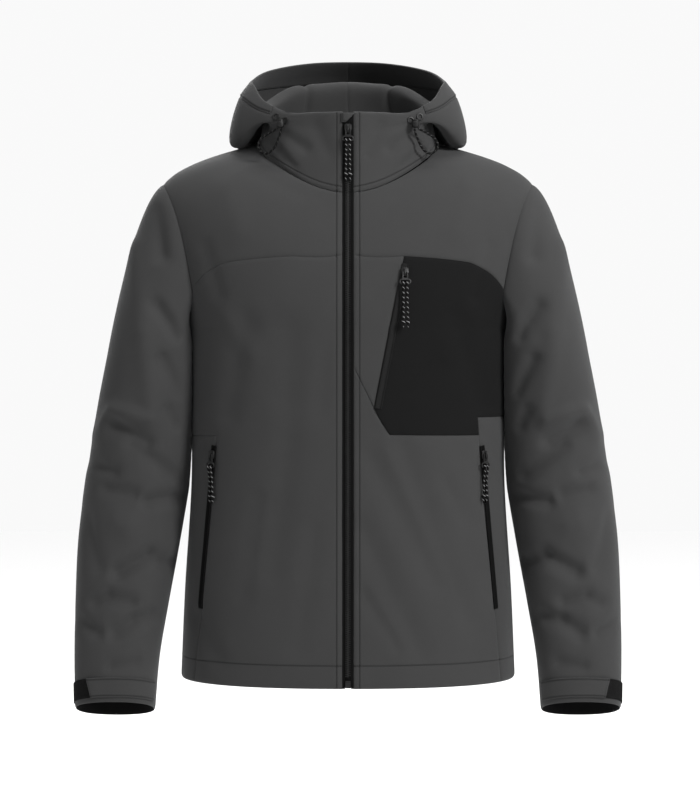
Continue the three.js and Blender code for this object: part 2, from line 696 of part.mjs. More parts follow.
// Cuff straps: from the inner side across the front, with a slanted end over the hook patch
const STRAP = { thick: 2, patchThick: 1.2, from: 9, to: 3, levels: [1.986, 1.959, 1.932], slant: 0.35 };
const PATCH = { from: 3, to: -1 };
const END_RISE = 3.2; // the strap's slanted end lies over the patch, between two columns
const sleeveLevels = [
  ...steps(CAP_STEPS),
  ...steps(ARM_STEPS).slice(1).map((t) => 1 + t * 0.88),
  ...[...STRAP.levels].reverse(),
  2,
];
const sleeveTurns = steps(ARM_NODES).map((t) => 2 * Math.PI * t);
const sleevePlaces = sleeveLevels.map((v) => sleeveTurns.map((u) => ({ u, v })));
const sleeveGrid = clothGrid(sleevePlaces, sleeveCloth);
add('sleeve_left', wall(sleeveGrid, { ring: true, gap: 0 }), 'shell');
add('sleeve_right', wall(mirrored(sleeveGrid), { ring: true, gap: 0 }), 'shell');

/** Cells laid on the sleeve between two turns, moved out from it. */
function onSleeve(from, to, thick, slant = 0) {
  const count = Math.abs(from - to);
  const places = STRAP.levels.map((v, r) =>
    steps(count).map((t) => {
      const node = lerp(from, to, t) - (t === 1 ? (slant * r) / 2 : 0);
      return { u: (2 * Math.PI * node) / ARM_NODES, v };
    }),
  );
  return places.map((row) =>
    row.map((place, i) => {
      const { point, normal } = sleeveCloth(place);
      const lift = LIFT + (slant && i === count ? END_RISE : 0);
      const inner = point.clone().addScaledVector(normal, lift);
      return { outer: point.addScaledVector(normal, lift + thick), inner, normal };
    }),
  );
}
const strap = onSleeve(STRAP.from, STRAP.to, STRAP.thick, STRAP.slant);
const hookPatch = onSleeve(PATCH.from, PATCH.to, STRAP.patchThick);
add('cuff_tab_left', wall(strap, { gap: 0 }), 'shell');
add('cuff_tab_right', wall(mirrored(strap), { gap: 0 }), 'shell');
add('cuff_patch_left', wall(hookPatch, { gap: 0 }), 'patch');
add('cuff_patch_right', wall(mirrored(hookPatch), { gap: 0 }), 'patch');

// Hood with the standing collar

/** Lifts a point of the hood that would sink into the shoulders or the back. */
function restingOnTorso(point, angle) {
  const away = Math.hypot(point.x, point.y);
  let [low, high] = [1.3, 2];
  for (let turn = 0; turn < 24; turn++) {
    const middle = (low + high) / 2;
    const under = torsoPoint(angle, middle);
    if (Math.hypot(under.x, under.y) > away) low = middle;
    else high = middle;
  }
  const outside = smooth(low, 2, 1.96);
  const floor = torsoPoint(angle, low).z + HOOD_REST * outside;
  point.z = Math.max(point.z, floor);
  return point;
}

/** The hood's bare form: level 0 at the neck seam, 1 at the rim. */
function hoodPoint(angle, level) {
  const turn = Math.abs(THREE.MathUtils.radToDeg(angle));
  const around = turn > 180 ? 360 - turn : turn;
  const station = sample(HOOD_STATIONS, 'angle', around);
  const seam = neckPoint(angle);
  const away = vec(Math.sin(angle), -Math.cos(angle), 0);
  const points = HOOD_POINTS.map((name) => {
    const point = seam.clone().addScaledVector(away, station[`${name}Out`]);
    point.z = station[`${name}Z`];
    return point;
  });
  seam.z += SEAM_GAP;
  const curve = new THREE.CatmullRomCurve3([seam, ...points], false, 'centripetal');
  return restingOnTorso(curve.getPoint(level), angle);
}

/** The hood's cloth, with the rim casing a little thicker. */
function hoodCloth({ u, v }, extra = 0) {
  const normal = normalOf(hoodPoint, u, THREE.MathUtils.clamp(v, 2 * NOD, 1 - 2 * NOD));
  const point = hoodPoint(u, v).addScaledVector(normal, extra);
  return { point, normal, inner: point.clone().addScaledVector(normal, -WALL - 2 * extra) };
}

const hoodAngles = [
  ...steps(YOKE_COLUMNS).map((_, c) => neckAngle(c)),
  ...steps(BACK_STEPS / 2).slice(1).map((t) => QUARTER * (1 + t)),
];
const BAND_LEVEL = 0.9;
const hoodLevels = [...steps(HOOD_STEPS - BAND_STEPS).map((t) => t * BAND_LEVEL), 0.95, 1];
const hoodGrid = (extra) =>
  hoodLevels.map((v) =>
    hoodAngles.map((angle, c) => {
      const u = c ? angle : Math.asin(ZIP_EDGE / -hoodPoint(0, v).y);
      const { point, normal, inner } = hoodCloth({ u, v }, extra);
      return { outer: point, normal, inner };
    }),
  );
const BAND_START = hoodAngles.findIndex((u) => u > degrees(57));
const isBand = (r, c) => c >= BAND_START && r >= HOOD_STEPS - BAND_STEPS;
for (const [name, turned] of [['left', (g) => g], ['right', mirrored]]) {
  const shell = { covers: (r, c) => !isBand(r, c) };
  add(`hood_${name}`, wall(turned(hoodGrid(0)), shell), 'shell');
  add(`hood_band_${name}`, wall(turned(hoodGrid(BAND_EXTRA)), { covers: isBand }), 'shell');
}

// Front zip, from the hem up the torso and the collar

const COLLAR_TOP = 0.985;
const CHAIN_LIFT = 0.6; // the teeth stand this far over the cloth
const zipRows = [
  ...steps(20).map((t) => ({ form: torsoPoint, v: t * 2 })),
  ...steps(5).slice(1).map((t) => ({ form: hoodPoint, v: t * COLLAR_TOP })),
];

/** Sections of a strip along the front edges between two offsets from the middle. */
function zipSections(fromX, toX, lift, thick, rows = zipRows) {
  return rows.map(({ form, v }) => {
    const middle = form(0, v);
    const normal = normalOf((u, level) => form(u, level), 0, THREE.MathUtils.clamp(v, NOD, 2 - NOD));
    const corner = (x, out) => {
      const point = form(Math.asin(x / -middle.y), v);
      return vec(x, point.y, point.z).addScaledVector(normal, out);
    };
    return [
      corner(fromX, lift - thick),
      corner(toX, lift - thick),
      corner(toX, lift),
      corner(fromX, lift),
    ];
  });
}
const TAPE_IN = CHAIN_HALF + SEAM_GAP;
add('zip_tape_left', loft(zipSections(TAPE_IN, ZIP_EDGE - SEAM_GAP, -0.6, 1.2)), 'tape');
add('zip_tape_right', loft(zipSections(SEAM_GAP - ZIP_EDGE, -TAPE_IN, -0.6, 1.2)), 'tape');
const chainRows = [{ form: torsoPoint, v: 0.024 }, ...zipRows.slice(1, -1)];
add('zip_chain', loft(zipSections(-CHAIN_HALF, CHAIN_HALF, CHAIN_LIFT, 2.4, chainRows)), 'plastic');
const boxRows = [0.002, 0.022].map((v) => ({ form: torsoPoint, v }));
add('zip_box', loft(zipSections(-CHAIN_HALF, CHAIN_HALF, 1.4, 3.6, boxRows)), 'plastic');
const guardRows = [0.85, 0.92, COLLAR_TOP].map((v) => ({ form: hoodPoint, v }));
add('chin_guard', loft(zipSections(-9, 9, LIFT + 2.1, 1.7, guardRows)), 'shell');

// Pocket zips, laid over the edges of the panels

/** A zip strip on the torso between two places seen from the front. */
function zipStrip({ top, foot, wide }, cloth) {
  const places = line([frontPlace(foot), frontPlace(top)], 10);
  const [low, high] = [LIFT + 0.1, LIFT + 0.1 + ZIP_THICK];
  return places.map((place, i) => {
    const { point, normal } = cloth(place);
    const next = cloth(places[Math.min(i + 1, places.length - 1)]).point;
    const past = cloth(places[Math.max(i - 1, 0)]).point;
    const across = next.sub(past).cross(normal).normalize();
    const corner = (side, out) =>
      point.clone().addScaledVector(across, side).addScaledVector(normal, out);
    return [
      corner(-wide / 2, low),
      corner(wide / 2, low),
      corner(wide / 2, high),
      corner(-wide / 2, high),
    ];
  });
}
const flipSections = (sections) => sections.map((s) => s.map((p) => vec(-p.x, p.y, p.z)));
add('chest_zip', loft(zipStrip(CHEST_ZIP, torsoCloth)), 'tape');
add('pocket_zip_left', loft(zipStrip(POCKET_ZIP, torsoCloth)), 'tape');
add('pocket_zip_right', loft(flipSections(zipStrip(POCKET_ZIP, rightCloth))), 'tape');

// Sliders, pull tabs and cord pulls

const SLIDER = { wide: 8.6, waist: 6, tall: 10.5, thick: 2.2 };
const BRIDGE = { wide: 1.8, tall: 7.6, thick: 0.9, room: 2.3 };
const TAB = { wide: 7, eye: 7.6, tall: 16.6, thick: 1.2, bar: 1.2, rim: 1.4 };
const TAB_RING = { wide: 14.4, tall: 6.6, round: 3.2 };
const PIN_LIFT = SLIDER.thick + BRIDGE.room / 2;
const STRAND = { thick: 2.6, apart: 4.8, sides: 8 };

/** A geometry joined to others through their solids. */
function joined(geometries) {
  const bodies = geometries.map((geometry) => {
    const bare = geometry.clone();
    bare.deleteAttribute('normal');
    bare.deleteAttribute('uv');
    const merged = mergeVertices(bare, 1e-4);
    const mesh = new wasm.Mesh({
      numProp: 3,
      vertProperties: new Float32Array(merged.attributes.position.array),
      triVerts: new Uint32Array(merged.index.array),
    });
    return new wasm.Manifold(mesh);
  });
  const { vertProperties, triVerts } = bodies.reduce((a, b) => a.add(b)).getMesh();
  const geometry = new THREE.BufferGeometry();
  geometry.setAttribute('position', new THREE.BufferAttribute(vertProperties, 3));
  geometry.setIndex(new THREE.BufferAttribute(triVerts, 1));
  geometry.computeVertexNormals();
  return geometry;
}

/** A flat outline in x, z given a thickness outwards from a distance off the cloth. */
function plate(shape, from, thick) {
  const geometry = new THREE.ExtrudeGeometry(shape, { depth: thick, bevelEnabled: false, curveSegments: 2 });
  return geometry.rotateX(QUARTER).translate(0, -from, 0);
}

/** A rounded rectangle as a shape or a hole. */
function roundedBox(Kind, x, y, wide, tall, radius) {
  const [w, h] = [wide / 2, tall / 2];
  const path = new Kind();
  path.moveTo(x - w + radius, y - h);
  path.lineTo(x + w - radius, y - h);
  path.absarc(x + w - radius, y - h + radius, radius, -QUARTER, 0, false);
  path.lineTo(x + w, y + h - radius);
  path.absarc(x + w - radius, y + h - radius, radius, 0, QUARTER, false);
  path.lineTo(x - w + radius, y + h);
  path.absarc(x - w + radius, y + h - radius, radius, QUARTER, 2 * QUARTER, false);
  path.lineTo(x - w, y - h + radius);
  path.absarc(x - w + radius, y - h + radius, radius, 2 * QUARTER, 3 * QUARTER, false);
  return path;
}

/** A zip slider: a waisted body with a bridge along it. The pull's bar lies under the bridge. */
function sliderGeometry() {
  const [w, n, h] = [SLIDER.wide / 2, SLIDER.waist / 2, SLIDER.tall / 2];
  const body = new THREE.Shape([
    new THREE.Vector2(-n, -h),
    new THREE.Vector2(n, -h),
    new THREE.Vector2(w, -h * 0.2),
    new THREE.Vector2(w, h * 0.7),
    new THREE.Vector2(w * 0.6, h),
    new THREE.Vector2(-w * 0.6, h),
    new THREE.Vector2(-w, h * 0.7),
    new THREE.Vector2(-w, -h * 0.2),
  ]);
  const [b, inner] = [BRIDGE.tall / 2, BRIDGE.tall / 2 - BRIDGE.thick];
  const [foot, under] = [SLIDER.thick - 0.4, SLIDER.thick + BRIDGE.room];
  const top = under + BRIDGE.thick;
  const arch = new THREE.Shape(
    [[-b, foot], [-inner, foot], [-inner, under], [inner, under], [inner, foot], [b, foot],
      [b, under], [inner, top], [-inner, top], [-b, under]].map(([y, x]) => new THREE.Vector2(x, y)),
  );
  const bridge = new THREE.ExtrudeGeometry(arch, { depth: BRIDGE.wide, bevelEnabled: false });
  bridge.applyMatrix4(new THREE.Matrix4().makeBasis(vec(0, -1, 0), vec(0, 0, 1), vec(-1, 0, 0)));
  bridge.translate(BRIDGE.wide / 2, 0, 0);
  return joined([plate(body, 0, SLIDER.thick), bridge]);
}

/** A pull tab: a neck round its bar, which is on the local X axis, and a wider flat ring under it. */
function tabGeometry() {
  const { wide, eye, tall, thick, bar, rim } = TAB;
  const ring = { ...TAB_RING, middle: bar / 2 - tall + TAB_RING.tall / 2 };
  const neckTall = bar / 2 - ring.middle - ring.tall / 2 + rim;
  const neck = roundedBox(THREE.Shape, 0, bar / 2 - neckTall / 2, wide, neckTall, 1);
  neck.holes.push(roundedBox(THREE.Path, 0, -bar / 2 - eye / 2, wide - 2 * rim, eye, 1));
  const loop = roundedBox(THREE.Shape, 0, ring.middle, ring.wide, ring.tall, ring.round);
  const hole = [ring.wide - 2 * rim, ring.tall - 2 * rim, ring.round - rim];
  loop.holes.push(roundedBox(THREE.Path, 0, ring.middle, ...hole));
  return joined([plate(neck, -thick / 2, thick), plate(loop, -thick / 2, thick)]);
}

/** A round tube along a smooth line through points. */
function tube(points, thick, count, sides = STRAND.sides) {
  const shape = new THREE.Shape();
  for (let i = 0; i < sides; i++) {
    const turn = (2 * Math.PI * i) / sides;
    shape[i ? 'lineTo' : 'moveTo']((thick / 2) * Math.cos(turn), (thick / 2) * Math.sin(turn));
  }
  shape.closePath();
  const path = new THREE.CatmullRomCurve3(points);
  return new THREE.ExtrudeGeometry(shape, { steps: count, bevelEnabled: false, extrudePath: path });
}

/** One slider with its tab and the two strands of its cord pull. */
function addSlider(name, frame, length, lean = 0.4) {
  add(`slider_${name}`, sliderGeometry(), 'metal', frame);
  const pin = { ...frame, origin: frame.origin.clone().addScaledVector(frame.back, -PIN_LIFT) };
  add(`pull_tab_${name}`, tabGeometry(), 'metal', pin);
  const start = -TAB.tall + TAB.bar / 2 - SEAM_GAP;
  for (const [letter, side] of [['a', -1], ['b', 1]]) {
    const x = (side * STRAND.apart) / 2;
    const points = [
      vec(x, 0, start),
      vec(x, lean * 0.2, start - length * 0.35),
      vec(x + side * 0.1, lean * 0.6, start - length * 0.7),
      vec(x + side * 0.5, lean, start - length),
    ];
    add(`pull_cord_${name}_${letter}`, tube(points, STRAND.thick, 5), 'cord', pin);
  }
}
const MAIN_SLIDER_LEVEL = 0.76;
const hoodSurface = ({ u, v }) => ({ point: hoodPoint(u, v), normal: normalOf(hoodPoint, u, v) });
const mainFrame = frameOn(hoodSurface, { u: 0, v: MAIN_SLIDER_LEVEL }, CHAIN_LIFT + SEAM_GAP);
addSlider('main', mainFrame, 49, -4);
const STRIP_TOP = LIFT + 0.1 + ZIP_THICK + SEAM_GAP;
addSlider('chest', frameOn(torsoCloth, frontPlace([69, -162]), STRIP_TOP), 53);
const pocketSlider = frontPlace([166.4, -387]);
addSlider('pocket_left', frameOn(torsoCloth, pocketSlider, STRIP_TOP), 44);
addSlider('pocket_right', mirroredFrame(frameOn(rightCloth, pocketSlider, STRIP_TOP)), 44);

// Draw cord of the hood: eyelets in the casing, a lock and a loop on each side

const EYELET = { outer: 4.8, inner: 2.4, thick: 1.2 };
const LOCK = { thick: 10, tall: 10.4 };
const LOOP_THICK = 3;
const eyeletPlaces = [[89, 31.8], [77.6, 27]].map(([x, z]) =>
  placeAt(hoodPoint, x, z, { u: degrees(55), v: 0.85 }),
);
const lockPlace = placeAt(hoodPoint, 81.5, 22.6, { u: degrees(55), v: 0.8 });

/** A flat ring with a rounded face, its axis along local Y. */
function eyeletGeometry() {
  const { outer, inner, thick } = EYELET;
  const face = [[outer - 0.4, thick * 0.8], [inner + 0.5, thick]];
  const profile = [[inner, 0], [outer, 0], ...face, [inner, 0]];
  const geometry = new THREE.LatheGeometry(profile.map(([x, y]) => new THREE.Vector2(x, y)), 16);
  return geometry.rotateX(Math.PI);
}

/** A barrel-shaped cord lock standing along local Z. */
function lockGeometry() {
  const [r, h] = [LOCK.thick / 2, LOCK.tall / 2];
  const barrel = [[0, -h], [r * 0.7, -h], [r, -h * 0.6], [r, h * 0.3]];
  const profile = [...barrel, [r * 0.8, h * 0.5], [r * 0.8, h], [0, h]];
  const geometry = new THREE.LatheGeometry(profile.map(([x, y]) => new THREE.Vector2(x, y)), 12);
  return geometry.rotateX(QUARTER);
}

// The loop hangs from the lock's foot and comes back to it, in the lock's own x, y, z
const LOOP_ROUTE = [
  [-1.6, 0, -6],
  [0.6, 0.2, -13],
  [3.6, 0.5, -20],
  [7, 0.8, -27],
  [12.4, 1.2, -33.4],
  [19.6, 1.4, -36.4],
  [26.4, 1.3, -33.4],
  [29.6, 0.9, -26],
  [26, 0.6, -18.4],
  [16.4, 0.3, -12],
  [3.4, 0, -6],
];
for (const [side, turned] of [['left', (f) => f], ['right', mirroredFrame]]) {
  const lock = turned(frameOn(hoodSurface, lockPlace, BAND_EXTRA + EYELET.thick + LOCK.thick / 2 + 0.6));
  eyeletPlaces.forEach((place, i) => {
    const lift = place.v > BAND_LEVEL ? BAND_EXTRA + SEAM_GAP : SEAM_GAP;
    const frame = turned(frameOn(hoodSurface, place, lift));
    add(`eyelet_${side}_${i + 1}`, eyeletGeometry(), 'metal', frame);
  });
  add(`cord_lock_${side}`, lockGeometry(), 'plastic', lock);
  const mirror = side === 'left' ? 1 : -1;
  const route = LOOP_ROUTE.map(([x, y, z]) => vec(mirror * x, y, z));
  add(`draw_loop_${side}`, tube(route, LOOP_THICK, 18), 'cord', lock);
}

export default group;
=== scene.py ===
"""A men's hooded softshell jacket, zipped up and filled out as if worn, with no wearer.

The forms are worked out in millimetres, as the part's source has them, and turned to metres where
a mesh is made. The front faces -Y, +Z is up and +X is the wearer's left. A place on the torso or
the hood is an angle round the body (0 at the front zip) and a level.
"""

from __future__ import annotations

import logging
import math
from dataclasses import dataclass, field, replace
from enum import Enum
from typing import Callable, Sequence

import bmesh
import bpy
import numpy as np
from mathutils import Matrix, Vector


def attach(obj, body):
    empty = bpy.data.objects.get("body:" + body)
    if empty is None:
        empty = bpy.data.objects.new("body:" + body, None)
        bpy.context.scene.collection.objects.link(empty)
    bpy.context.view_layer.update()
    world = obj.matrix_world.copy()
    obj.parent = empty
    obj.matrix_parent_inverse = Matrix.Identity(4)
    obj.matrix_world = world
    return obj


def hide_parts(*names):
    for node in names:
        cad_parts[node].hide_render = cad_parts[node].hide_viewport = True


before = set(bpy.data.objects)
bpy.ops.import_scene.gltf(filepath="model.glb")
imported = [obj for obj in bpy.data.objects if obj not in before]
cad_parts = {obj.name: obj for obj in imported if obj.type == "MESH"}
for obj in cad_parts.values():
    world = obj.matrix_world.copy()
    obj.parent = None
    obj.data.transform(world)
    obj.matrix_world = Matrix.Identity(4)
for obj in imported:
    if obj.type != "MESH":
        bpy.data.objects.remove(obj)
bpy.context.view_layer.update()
log = logging.getLogger("jacket")

Array = np.ndarray
Surface = Callable[[Array, Array], Array]

# ---- Sizes shared by all pieces, in mm

MM = 0.001
WALL = 2.0
SEAM_GAP = 0.3
LIFT = 0.4
HEM_Z = -671.0
CHEST_Z = -230.0
ZIP_EDGE = 7.0
NECK_FRONT = 92
QUARTER = math.pi / 2
NOD = 1e-4
CELL = 4.0
FAR = 100.0
TOPSTITCH = 7.0
HEM_TURN = 28.0


class Side(Enum):
    """The wearer's left (+X) or right (-X)."""

    LEFT = 1
    RIGHT = -1

    @property
    def word(self) -> str:
        """The side's name as the nodes have it."""
        return self.name.lower()


# ---- Curves and surfaces


def smooth(x: Array, low: float, high: float) -> Array:
    """Rises from 0 at low to 1 at high as 3t^2 - 2t^3; high may lie below low."""
    t = np.clip((np.asarray(x, float) - low) / (high - low), 0, 1)
    return t * t * (3 - 2 * t)


def mixed(a: Array, b: Array, t: Array) -> Array:
    """The point t of the way from a to b."""
    return a + (b - a) * t


def unit(v: Array) -> Array:
    """Vectors divided by their length."""
    return v / np.maximum(np.linalg.norm(v, axis=-1, keepdims=True), 1e-12)


def hermite_rows(rows: Array, at: Array) -> Array:
    """All columns of a table at values of its first column.

    Between two rows the value is a cubic Hermite curve. Its slope at a row is the rise between the
    rows on both sides of it over their distance.

    Args:
        rows: the table, with its first column rising.
        at: values of the first column, of any shape.

    Returns:
        The shape of at, with one more axis for the columns.
    """
    keys = rows[:, 0]
    last = len(keys) - 1
    i = np.clip(np.searchsorted(keys, at, side="right") - 1, 0, last - 1)
    before, after = np.maximum(i - 1, 0), np.minimum(i + 2, last)
    span = keys[i + 1] - keys[i]
    t = np.clip((at - keys[i]) / span, 0, 1)[..., None]
    a, b = rows[i], rows[i + 1]
    start = (b - rows[before]) * (span / (keys[i + 1] - keys[before]))[..., None]
    end = (rows[after] - a) * (span / (keys[after] - keys[i]))[..., None]
    bend = (1 - t) ** 2 * t * start - (1 - t) * t * t * end
    return a + (b - a) * t * t * (3 - 2 * t) + bend


def round_curve(controls: Array, level: Array) -> Array:
    """Points of centripetal Catmull-Rom curves.

    Each stretch is a cubic whose end slopes weigh the chords beside it by the square root of their
    length, so it makes no loop where the controls crowd.

    Args:
        controls: control points, (..., count, 3).
        level: 0 at the first control point, 1 at the last, of the shape of the leading axes.

    Returns:
        The points, (..., 3).
    """
    count = controls.shape[-2]
    first = 2 * controls[..., :1, :] - controls[..., 1:2, :]
    last = 2 * controls[..., -1:, :] - controls[..., -2:-1, :]
    full = np.concatenate([first, controls, last], axis=-2)
    place = np.clip(level, 0, 1) * (count - 1)
    i = np.clip(np.floor(place).astype(int), 0, count - 2)
    t = (place - i)[..., None]
    p0, p1, p2, p3 = (
        np.take_along_axis(full, (i + k)[..., None, None], axis=-2)[..., 0, :] for k in range(4)
    )
    d0, d1, d2 = (
        np.maximum(np.sqrt(np.linalg.norm(b - a, axis=-1, keepdims=True)), 1e-4)
        for a, b in ((p0, p1), (p1, p2), (p2, p3))
    )
    start = ((p1 - p0) / d0 - (p2 - p0) / (d0 + d1) + (p2 - p1) / d1) * d1
    end = ((p2 - p1) / d1 - (p3 - p1) / (d1 + d2) + (p3 - p2) / d2) * d1
    square = 3 * (p2 - p1) - 2 * start - end
    cube = 2 * (p1 - p2) + start + end
    return p1 + start * t + square * t**2 + cube * t**3


def bezier(a: Array, b: Array, c: Array, d: Array, t: Array) -> Array:
    """Points of cubic Bezier curves: the controls weighed by the terms of (1 - t + t)^3."""
    s = 1 - t
    return s**3 * a + 3 * s * s * t * b + 3 * s * t * t * c + t**3 * d


def normals_of(surface: Surface, u: Array, v: Array) -> Array:
    """Outward normals: the cross product of small steps in u and in v."""
    across = surface(u + NOD, v) - surface(u - NOD, v)
    up = surface(u, v + NOD) - surface(u, v - NOD)
    return unit(np.cross(across, up))


def place_at(surface: Surface, x: float, z: float, guess: tuple[float, float]) -> Array:
    """The place (u, v) whose point lies at x, z seen from the front, by Newton's steps.

    Args:
        surface: the surface.
        x: millimetres to the wearer's left.
        z: height in millimetres.
        guess: a place near it.

    Returns:
        The place, as two numbers.
    """
    place = np.array(guess, float)
    for _ in range(30):
        u, v = place[:1], place[1:]
        here = surface(u, v)[0]
        by_u = (surface(u + NOD, v)[0] - here) / NOD
        by_v = (surface(u, v + NOD)[0] - here) / NOD
        slopes = np.array([[by_u[0], by_v[0]], [by_u[2], by_v[2]]])
        step = np.linalg.solve(slopes, [x - here[0], z - here[2]])
        place += np.clip(step, -0.2, 0.2)
    return place


def fold_lift(folds: Array, x: Array, z: Array) -> Array:
    """How far folds lift the cloth.

    Off its line, each fold lifts by deep * exp(-(distance / wide)^2). Ridges join as the cube root
    of the sum of their cubes, so that they don't pile up where they meet, and so do troughs.

    Args:
        folds: rows of x and z of both ends, width and depth.
        x: the points' x.
        z: the points' z.

    Returns:
        The lift in mm, of the shape of x.
    """
    x0, z0, x1, z1, wide, deep = folds.T
    dx, dz = x1 - x0, z1 - z0
    ex, ez = x[..., None] - x0, z[..., None] - z0
    t = np.clip((ex * dx + ez * dz) / (dx * dx + dz * dz), 0, 1)
    away = np.hypot(ex - dx * t, ez - dz * t) / wide
    lift = deep * np.exp(-away * away)
    ridge, trough = (np.cbrt((part.clip(0) ** 3).sum(-1)) for part in (lift, -lift))
    return ridge - trough


def table(*rows: Sequence[float]) -> Array:
    """A dataclass field that holds a table, row by row."""
    return field(default_factory=lambda: np.array(rows, float))


def lengths(line: Array) -> Array:
    """Length along a line up to each of its points."""
    return np.concatenate([[0], np.cumsum(np.linalg.norm(np.diff(line, axis=0), axis=1))])


def sampled(at: Array, keys: Array, values: Array) -> Array:
    """Rows of values that stand at rising keys, read off between them along straight lines."""
    return np.stack([np.interp(at, keys, column) for column in values.T], axis=-1)


# ---- The torso's form


@dataclass(frozen=True)
class Ring:
    """A rounded ring in plan: half width, depth in front and behind, and its roundness."""

    wide: float
    front: float
    back: float
    power: float = 2.0
    side: float = 0.0
    low: float = 0.0
    rear: float = 0.0

    def points(self, angle: Array) -> Array:
        """Points in the direction of an angle, on |x/wide|^p + |y/deep|^p = 1.

        Its height runs from side to low in front and to rear behind, with the cosine's square.

        Args:
            angle: angles from the front.

        Returns:
            The points, (..., 3).
        """
        deep = np.where(np.cos(angle) > 0, self.front, self.back)
        far = np.where(np.cos(angle) > 0, self.low, self.rear)
        x, y = plan(angle, self.wide, deep, self.power)
        return np.stack([x, y, mixed(self.side, far, np.cos(angle) ** 2)], axis=-1)


def plan(angle: Array, wide: Array, deep: Array, power: float) -> tuple[Array, Array]:
    """x and y of a superellipse in the direction of an angle from the front."""
    across = np.abs(np.sin(angle) / wide) ** power
    along = np.abs(np.cos(angle) / deep) ** power
    reach = (across + along) ** (-1 / power)
    return reach * np.sin(angle), -reach * np.cos(angle)


def neck_points(angle: Array) -> Array:
    """The neck seam: an ellipse in plan, whose height has a mean, a tilt and a dip."""
    points = Ring(112, NECK_FRONT, 84).points(angle)
    points[..., 2] = -12.9 - 37.8 * np.cos(angle) - 12.9 * np.cos(2 * angle)
    return points


@dataclass
class Armhole:
    """The armhole as an egg round the side meridian: its reach in angle and level."""

    middle: float = 1.14
    tip: float = 0.52
    bottom: float = 0.14
    front: float = math.radians(20)
    back: float = math.radians(18)
    nodes: int = 20

    def places(self, node: Array) -> Array:
        """Places round the hole: 0 at the shoulder tip, then down the front and up the back."""
        turn = 2 * math.pi * np.asarray(node, float) / self.nodes
        reach = np.where(np.sin(turn) > 0, self.front, self.back)
        height = np.where(np.cos(turn) > 0, self.tip, self.bottom)
        u = QUARTER - reach * np.sin(turn)
        return np.stack([u, self.middle + height * np.cos(turn)], axis=-1)

    def firmness(self, u: Array, v: Array) -> Array:
        """How deep a seam lies at a place: little round the hole, whose seam is pressed flat."""
        u = np.minimum(np.abs(u), 2 * math.pi - np.abs(u))
        across = (u - QUARTER) / np.where(u < QUARTER, self.front, self.back)
        up = (v - self.middle) / np.where(v > self.middle, self.tip, self.bottom)
        return mixed(0.2, 1.0, smooth(np.hypot(across, up), 1.02, 1.3))


